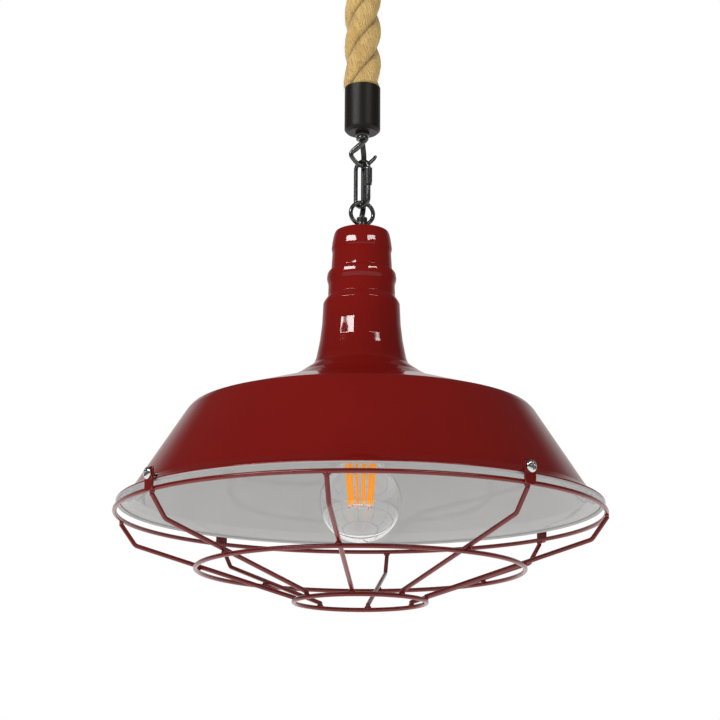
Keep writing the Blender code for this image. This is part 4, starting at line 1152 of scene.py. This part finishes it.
# ---- bulb ----
@dataclass
class Bulb:
    """A clear filament bulb: glass, screw cap, stem, wire supports and six coated filaments."""

    ball: float = 0.0305
    glass: float = 0.0008
    neck: float = 0.0120
    pitch: float = 0.0036
    thread: float = 0.0005
    filaments: int = 6
    filament_radius: float = 0.0013
    filament_length: float = 0.038
    top_spread: float = 0.0115
    bottom_spread: float = 0.0083

    def outline(self, shrink: float, steps: int) -> np.ndarray:
        """The glass from its neck to its pole: a neck, a smooth swell, then a circle.

        The swell is the cubic whose ends match the neck's upright side and the circle's tangent.

        Args:
            shrink: how far inside the glass's outer face.
            steps: points along the swell.

        Returns:
            The (radius, height) points.
        """
        low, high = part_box("bulb_glass")
        centre, ball, neck = low.z + self.ball, self.ball - shrink, self.neck - shrink
        top, blend = high.z, math.radians(40)
        start = np.array((neck, top - 0.006))
        end = np.array((ball * math.cos(blend), centre + ball * math.sin(blend)))
        reach = float(np.linalg.norm(end - start))
        leave, arrive = np.array((0, -1)) * reach, np.array((math.sin(blend), -math.cos(blend))) * reach
        t = np.linspace(0, 1, steps)[:, None]
        swell = ((2 * t**3 - 3 * t**2 + 1) * start + (t**3 - 2 * t**2 + t) * leave
                 + (3 * t**2 - 2 * t**3) * end + (t**3 - t**2) * arrive)
        angle = np.linspace(blend, -math.pi / 2, 3 * steps)[1:]
        circle = np.stack([ball * np.cos(angle), centre + ball * np.sin(angle)], 1)
        circle[-1, 0] = 0.0
        return np.vstack([[(neck, top)], swell, circle])

    def build(self) -> None:
        """Make the envelope, the cap with its thread, the end pieces and what is inside."""
        outer, inner = self.outline(0.0, 16), self.outline(self.glass, 16)
        wall = skin("clear_envelope", [turned(np.vstack([outer[::-1], inner]), 112)])
        finish_piece(wall, Looks.GLASS, "bulb", "clear_glass", "bulb_glass")
        self.cap()
        self.ends()
        self.inside()

    def cap(self) -> None:
        """The screw cap: its skirt's radius follows a wave that climbs one pitch each turn."""
        low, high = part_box("bulb_cap")
        radius, top, bottom = high.x, high.z, low.z
        skirt = np.linspace(top - 0.0045, bottom, 64)
        head = np.array([(0.0068, top), (0.0088, top - 0.0010), (radius - 0.0006, top - 0.0030)])
        inner = radius - 0.0013
        inside = np.array([(inner, bottom), (inner, top - 0.0052), (0.0068, top - 0.0026)])
        profile = np.vstack([head, np.stack([np.full(64, radius - self.thread), skirt], 1), inside])
        grid = turned(profile, 96)
        angle = np.linspace(0, math.tau, 96, endpoint=False)[None]
        height = profile[:, 1][:, None]
        fade = np.clip((height - bottom - 0.0030) / 0.002, 0, 1)
        fade = fade * np.clip((top - 0.0045 - height) / 0.002, 0, 1)
        wave = 0.5 + 0.5 * np.cos(math.tau * height / self.pitch - angle)
        rows = np.zeros((len(profile), 1))
        rows[3:67] = 1.0
        grid[..., :2] *= (1 + rows * fade * self.thread * wave / radius)[..., None]
        piece = skin("threaded_cap", [grid], ring=True)
        finish_piece(piece, Looks.CHROME, "bulb", "bright_steel", "bulb_cap")

    def ends(self) -> None:
        """The insulator's cone and the contact tip's button."""
        low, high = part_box("bulb_insulator")
        cone = rounded([(0, high.z), (0.0046, high.z), (0.0082, low.z), (0, low.z)], [0, 0.0008, 0.0005, 0])
        finish_piece(skin("end_insulator", [turned(cone, 64)]), Looks.PHENOLIC, "bulb", "black_plastic",
                     "bulb_insulator")
        low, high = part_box("bulb_contact_tip")
        corners = [(0, high.z), (high.x * 0.7, high.z), (high.x, low.z + 0.0006), (high.x, low.z), (0, low.z)]
        button = rounded(corners, [0, 0.0012, 0.0006, 0.0002, 0])
        finish_piece(skin("end_contact", [turned(button, 56)]), Looks.CHROME, "bulb", "bright_steel",
                     "bulb_contact_tip")

    def inside(self) -> None:
        """The stem, the wire hoops and leads, and the filaments leaning in towards their lower hub."""
        low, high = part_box("bulb_glass")
        base = low.z + self.ball - 0.002
        top = base + self.filament_length
        stem_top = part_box("bulb_stem")[1].z
        corners = [(0, stem_top), (0.0078, stem_top), (0.0066, stem_top - 0.0040), (0.0034, top + 0.0060),
                   (0.0024, top - 0.0040), (0.0014, base + 0.0030), (0, base + 0.0026)]
        stem = resampled(rounded(corners, [0, 0.0005, 0.003, 0.004, 0.004, 0.0008, 0], 5), 0.003)
        finish_piece(skin("glass_stem", [turned(stem, 48)]), Looks.GLASS, "bulb", "clear_glass", "bulb_stem")
        sticks, wires = [], [hoop(self.top_spread, 0.00035, Vector((0, 0, top + 0.0012)), 8, 64),
                             hoop(self.bottom_spread, 0.00035, Vector((0, 0, base - 0.0012)), 8, 64)]
        leads = []
        for index in range(self.filaments):
            angle = math.radians(75) + math.tau * index / self.filaments
            head, foot = around(angle, self.top_spread, top), around(angle, self.bottom_spread, base)
            path = np.linspace(tuple(head), tuple(foot), 12)
            path, radii = domed(path, self.filament_radius)
            side = around(angle + math.pi / 2, 1, 0)
            sticks.append(swept(path, radii, side, 16))
            for near, far in ((head, around(angle, self.top_spread, top + 0.0030)),
                              (foot, around(angle, self.bottom_spread, base - 0.0028))):
                leads.append(swept(*domed(np.linspace(tuple(near), tuple(far), 3), 0.0004), side, 8))
            reach = around(angle, self.bottom_spread, base - 0.0012)
            spoke = np.linspace((0, 0, base - 0.0002), tuple(reach), 4)
            leads.append(swept(*domed(spoke, 0.0003), Vector((0, 0, 1)), 8))
        for side in (-1, 1):
            knots = [(side * 0.0030, 0, stem_top - 0.004), (side * 0.0060, 0, top + 0.012),
                     (side * 0.0100, 0, top + 0.004), (side * self.top_spread, 0, top + 0.0012)]
            run = smooth_line(knots, 24)
            leads.append(swept(*domed(run, 0.00035), Vector((0, 1, 0)), 8))
        piece = skin("coated_filaments", sticks)
        finish_piece(piece, Looks.FILAMENT, "bulb", "phosphor", "bulb_filaments")
        finish_piece(skin("support_hoops", wires, ring=True), Looks.CHROME, "bulb", "bright_steel")
        finish_piece(skin("support_wires", leads), Looks.CHROME, "bulb", "bright_steel")


# ---- guard ----
@dataclass
class Guard:
    """The welded wire guard: three hoops, eight bent ribs, welds, four lugs and their clamp screws."""

    datum: Datum
    wire: float = 0.0017
    bend_inset: float = 0.0112
    bend_drop: float = 0.0195
    bottom_drop: float = 0.0632
    ribs: int = 8
    start: float = math.radians(-7)
    lug_width: float = 0.010
    lug_thickness: float = 0.0015
    hole: float = 0.0019
    head_radius: float = 0.0043
    head_height: float = 0.0026
    shank: float = 0.0015
    taper: float = 0.0006

    def ring_radius(self, node: str) -> float:
        """The radius of a hoop's centre line, from its CAD node's box."""
        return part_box(node)[1].x - self.wire * math.cos(math.pi / 6)

    def build(self) -> None:
        """Make the hoops, ribs, welds, lugs and screws."""
        heights = {}
        for word in ("top", "middle", "bottom"):
            node = f"guard_{word}_ring"
            low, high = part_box(node)
            heights[word] = (self.ring_radius(node), (low.z + high.z) / 2)
            radius, height = heights[word]
            grid = hoop(radius, self.wire, Vector((0, 0, height)), 16, 200)
            piece = skin(f"{word}_hoop", [grid], ring=True)
            finish_piece(piece, Looks.GUARD, "lamp", "red_enamel", node)
        plane = self.datum.guard_plane
        flat = [
            (heights["top"][0], plane - 2 * self.wire - GAP),
            (heights["top"][0] - self.bend_inset, plane - self.bend_drop),
            (heights["bottom"][0], plane - self.bottom_drop + 2 * self.wire + GAP),
        ]
        line = rounded(flat, [0, 0.006, 0], 10)
        welds = []
        for index in range(self.ribs):
            angle = self.start + math.tau * index / self.ribs
            path = np.array([tuple(around(angle, r, z)) for r, z in line])
            path, radii = domed(path, self.wire, 4)
            side = around(angle + math.pi / 2, 1, 0)
            piece = skin(f"bent_rib_{index + 1}", [swept(path, radii, side, 16)])
            finish_piece(piece, Looks.GUARD, "lamp", "red_enamel", f"guard_rib_{index + 1}")
            middle = around(angle, heights["middle"][0], heights["middle"][1] + 1.05 * self.wire)
            upper = around(angle, flat[0][0], plane - 1.05 * self.wire)
            lower = around(angle, heights["bottom"][0], heights["bottom"][1] + self.wire)
            welds += [self.weld(angle, centre, size)
                      for centre, size in ((upper, 0.0021), (middle, 0.0019), (lower, 0.0021))]
        piece = skin("weld_beads", welds)
        finish_piece(piece, Looks.GUARD, "lamp", "red_enamel")
        for number in range(self.ribs // 2):
            self.lug_and_screw(number)

    def weld(self, angle: float, centre: Vector, size: float) -> np.ndarray:
        """Make a melted bead: an ellipsoid, longest along the hoop.

        Args:
            angle: its place round the guard.
            centre: its centre.
            size: its mean radius.

        Returns:
            Its grid.
        """
        share = np.linspace(0, math.pi, 9)
        ball = turned(np.stack([np.sin(share), np.cos(share)], 1), 14)
        ball[0, :, :2] = ball[-1, :, :2] = 0.0
        ball = ball * np.array((1.25, 0.80, 0.95)) * size
        return placed(ball, Matrix.Translation(centre) @ Matrix.Rotation(angle, 4, "Z"))

    def lug_and_screw(self, number: int) -> None:
        """A rounded tab with a hole, welded outside the top hoop, and the screw through the hole.

        The tab's edge lies where a blunt ellipse's sixth-power sum is one, measured from the hole's centre.

        Args:
            number: which of the lugs, from 0.
        """
        node = f"guard_lug_{number + 1}"
        angle = self.start + math.tau * (2 * number + 1) / self.ribs
        low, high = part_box(f"guard_screw_{number + 1}")
        height = (low.z + high.z) / 2
        top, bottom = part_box(node)[1].z - height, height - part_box(node)[0].z
        turn = np.linspace(0, math.tau, 96, endpoint=False)
        across, up = np.abs(np.cos(turn)) / (self.lug_width / 2), np.sin(turn)
        up = np.where(up > 0, up / top, -up / bottom)
        edge = (across**6 + up**6) ** (-1 / 6)
        thick, soft = self.lug_thickness, 0.0003
        rows = [(0, 0, 0), (0, 0, thick), (1, -soft, thick), (1, 0, thick - soft), (1, 0, soft),
                (1, -soft, 0)]
        reach = np.array([np.where(outer, edge + inset, self.hole) for outer, inset, _ in rows])
        depth = np.array([d for _, _, d in rows])[:, None] + 0 * turn
        grid = np.stack([reach * np.cos(turn), reach * np.sin(turn), depth], -1)
        inner = self.ring_radius("guard_top_ring") + self.wire + GAP
        outwards = Matrix.Rotation(angle, 4, "Z") @ Matrix.Rotation(math.pi / 2, 4, "X")
        place = Matrix.Translation(around(angle, inner, height)) @ outwards
        tab = skin(f"clamp_tab_{number + 1}", [placed(grid, place)], ring=True)
        finish_piece(tab, Looks.GUARD, "lamp", "red_enamel", node)
        seat = inner + thick + GAP
        tip = self.tip_radius(number)
        screw = PanScrew(self.head_radius, self.head_height, self.shank, seat - tip - self.taper)
        place = Matrix.Translation(around(angle, seat, height)) @ outwards
        piece = skin(f"clamp_pan_screw_{number + 1}", [placed(screw.grid(), place)])
        finish_piece(piece, Looks.CHROME, f"clamp_screw_{number + 1}", "bright_steel",
                     f"guard_screw_{number + 1}")

    def tip_radius(self, number: int) -> float:
        """Measure how far from the axis a clamp screw's inner end is.

        Args:
            number: which of the screws, from 0.

        Returns:
            The least distance of its points.
        """
        node = frame["nodes"][f"guard_screw_{number + 1}"]
        points = np.array([tuple(node.matrix_world @ vertex.co) for vertex in node.data.vertices])
        return float(np.linalg.norm(points[:, :2], axis=1).min())


# ---- studio ----
@dataclass(frozen=True)
class Studio:
    """The camera before the light, the soft lights, the pale surroundings and the floor."""

    distance: float = 1.395
    eye_drop: float = 0.2315
    pitch: float = 0.246
    yaw: float = 0.00068
    roll: float = 0.005
    lens: float = 95.65
    floor_drop: float = 0.62
    reach: float = 2.2

    def build(self, datum: Datum) -> None:
        """Place everything that isn't the object.

        Args:
            datum: the frame's own heights.
        """
        data = bpy.data.cameras.new("camera")
        data.lens = self.lens
        data.sensor_width = 36
        data.clip_start = 0.05
        camera = bpy.data.objects.new("camera", data)
        turn = (Matrix.Rotation(self.yaw, 4, "Z") @ Matrix.Rotation(math.pi / 2 + self.pitch, 4, "X")
                @ Matrix.Rotation(self.roll, 4, "Z"))
        eye = Matrix.Translation((0, -self.distance, datum.guard_plane - self.eye_drop))
        camera.matrix_world = eye @ turn
        bpy.context.scene.collection.objects.link(camera)
        bpy.context.scene.camera = camera
        bpy.context.scene.view_settings.view_transform = "Standard"
        self.world()
        self.floor(datum.guard_plane - self.floor_drop)
        neck = Vector((0, 0, datum.neck_top))
        self.light("key", neck, -43.0, 28.7, 1.45, 0.20, 28)
        self.light("fill", neck, 39.0, 30.4, 1.10, 0.13, 10)
        self.light("low", Vector((0, 0, datum.guard_plane)), 0.0, -30.0, 1.6, 0.30, 5)

    def light(self, name: str, aim: Vector, turn: float, rise: float, width: float, height: float,
              watts: float) -> None:
        """A rectangular soft light that faces a point.

        Args:
            name: the light's name.
            aim: the point.
            turn: degrees from the front towards the right.
            rise: degrees above the level.
            width: its width.
            height: its height.
            watts: its power.
        """
        level = self.reach * math.cos(math.radians(rise))
        place = aim + around(math.radians(turn), level, self.reach * math.sin(math.radians(rise)))
        data = bpy.data.lights.new(name, "AREA")
        data.shape = "RECTANGLE"
        data.size, data.size_y, data.energy = width, height, watts
        made = bpy.data.objects.new(name, data)
        made.location = place
        made.rotation_euler = (aim - place).to_track_quat("-Z", "Y").to_euler()
        bpy.context.scene.collection.objects.link(made)

    def world(self) -> None:
        """White behind what the camera sees; a softer room, dark overhead and in front, for the rest."""
        world = bpy.data.worlds.new("studio")
        bpy.context.scene.world = world
        world.use_nodes = True
        nodes, links = world.node_tree.nodes, world.node_tree.links
        background = nodes["Background"]
        place = nodes.new("ShaderNodeTexCoord")
        split = nodes.new("ShaderNodeSeparateXYZ")
        links.new(place.outputs["Generated"], split.inputs["Vector"])
        back = self.ramp(world.node_tree, split.outputs["Y"], (0.50, 0.97), (0.0, 0.85))
        level = self.ramp(world.node_tree, split.outputs["Z"], (0.57, 0.42), (0.0, 1.0))
        below = self.ramp(world.node_tree, split.outputs["Z"], (-0.05, -0.60), (0.10, 0.95))
        total = nodes.new("ShaderNodeMath")
        total.operation = "MULTIPLY_ADD"
        links.new(back, total.inputs[0])
        links.new(level, total.inputs[1])
        links.new(below, total.inputs[2])
        path = nodes.new("ShaderNodeLightPath")
        choice = nodes.new("ShaderNodeMix")
        choice.inputs["B"].default_value = 1.0
        links.new(path.outputs["Is Camera Ray"], choice.inputs["Factor"])
        links.new(total.outputs["Value"], choice.inputs["A"])
        links.new(choice.outputs["Result"], background.inputs["Strength"])
        background.inputs["Color"].default_value = (1.0, 1.0, 1.0, 1)

    @staticmethod
    def ramp(tree: bpy.types.NodeTree, source: Socket, span: tuple, values: tuple) -> Socket:
        """Map one part of a direction to a brightness.

        Args:
            tree: the world's nodes.
            source: the part of the direction, as a socket.
            span: where the ramp starts and ends.
            values: the brightness at its start and end.

        Returns:
            The brightness, as a socket.
        """
        made = tree.nodes.new("ShaderNodeMapRange")
        for name, value in zip(("From Min", "From Max", "To Min", "To Max"), (*span, *values)):
            made.inputs[name].default_value = value
        tree.links.new(source, made.inputs["Value"])
        return made.outputs["Result"]

    def floor(self, height: float) -> None:
        """A wide pale floor far below the light."""
        corners = [(x, y, height) for x, y in ((-6, -6), (6, -6), (6, 6), (-6, 6))]
        mesh = bpy.data.meshes.new("floor")
        mesh.from_pydata(corners, [], [(0, 1, 2, 3)])
        floor = bpy.data.objects.new("floor", mesh)
        bpy.context.scene.collection.objects.link(floor)
        pale = Finish("pale_floor", (0.80, 0.80, 0.79), (0.76, 0.76, 0.75), 0.7, grain=30, depth=0.0001,
                      glow=0.95)
        mesh.materials.append(pale.material())


def dress_kept() -> None:
    """Give every CAD node that still shows its own finish."""
    for look, names in KEPT.items():
        for name in names:
            data = frame["nodes"][name].data
            data.materials.clear()
            data.materials.append(look.material())


def main() -> None:
    """Build each sub-assembly in order, then the studio."""
    logging.basicConfig(level=logging.INFO, format="%(name)s %(message)s")
    datum = Datum.from_frame()
    Studio().build(datum)
    for part in (RopeRun(datum), CeilingFitting(datum), Hanger(datum), Shade(datum), Lampholder(), Bulb(),
                 Guard(datum)):
        LOG.info("building %s", type(part).__name__)
        part.build()
    dress_kept()
    bpy.context.view_layer.update()


if __name__ == "__main__":
    main()
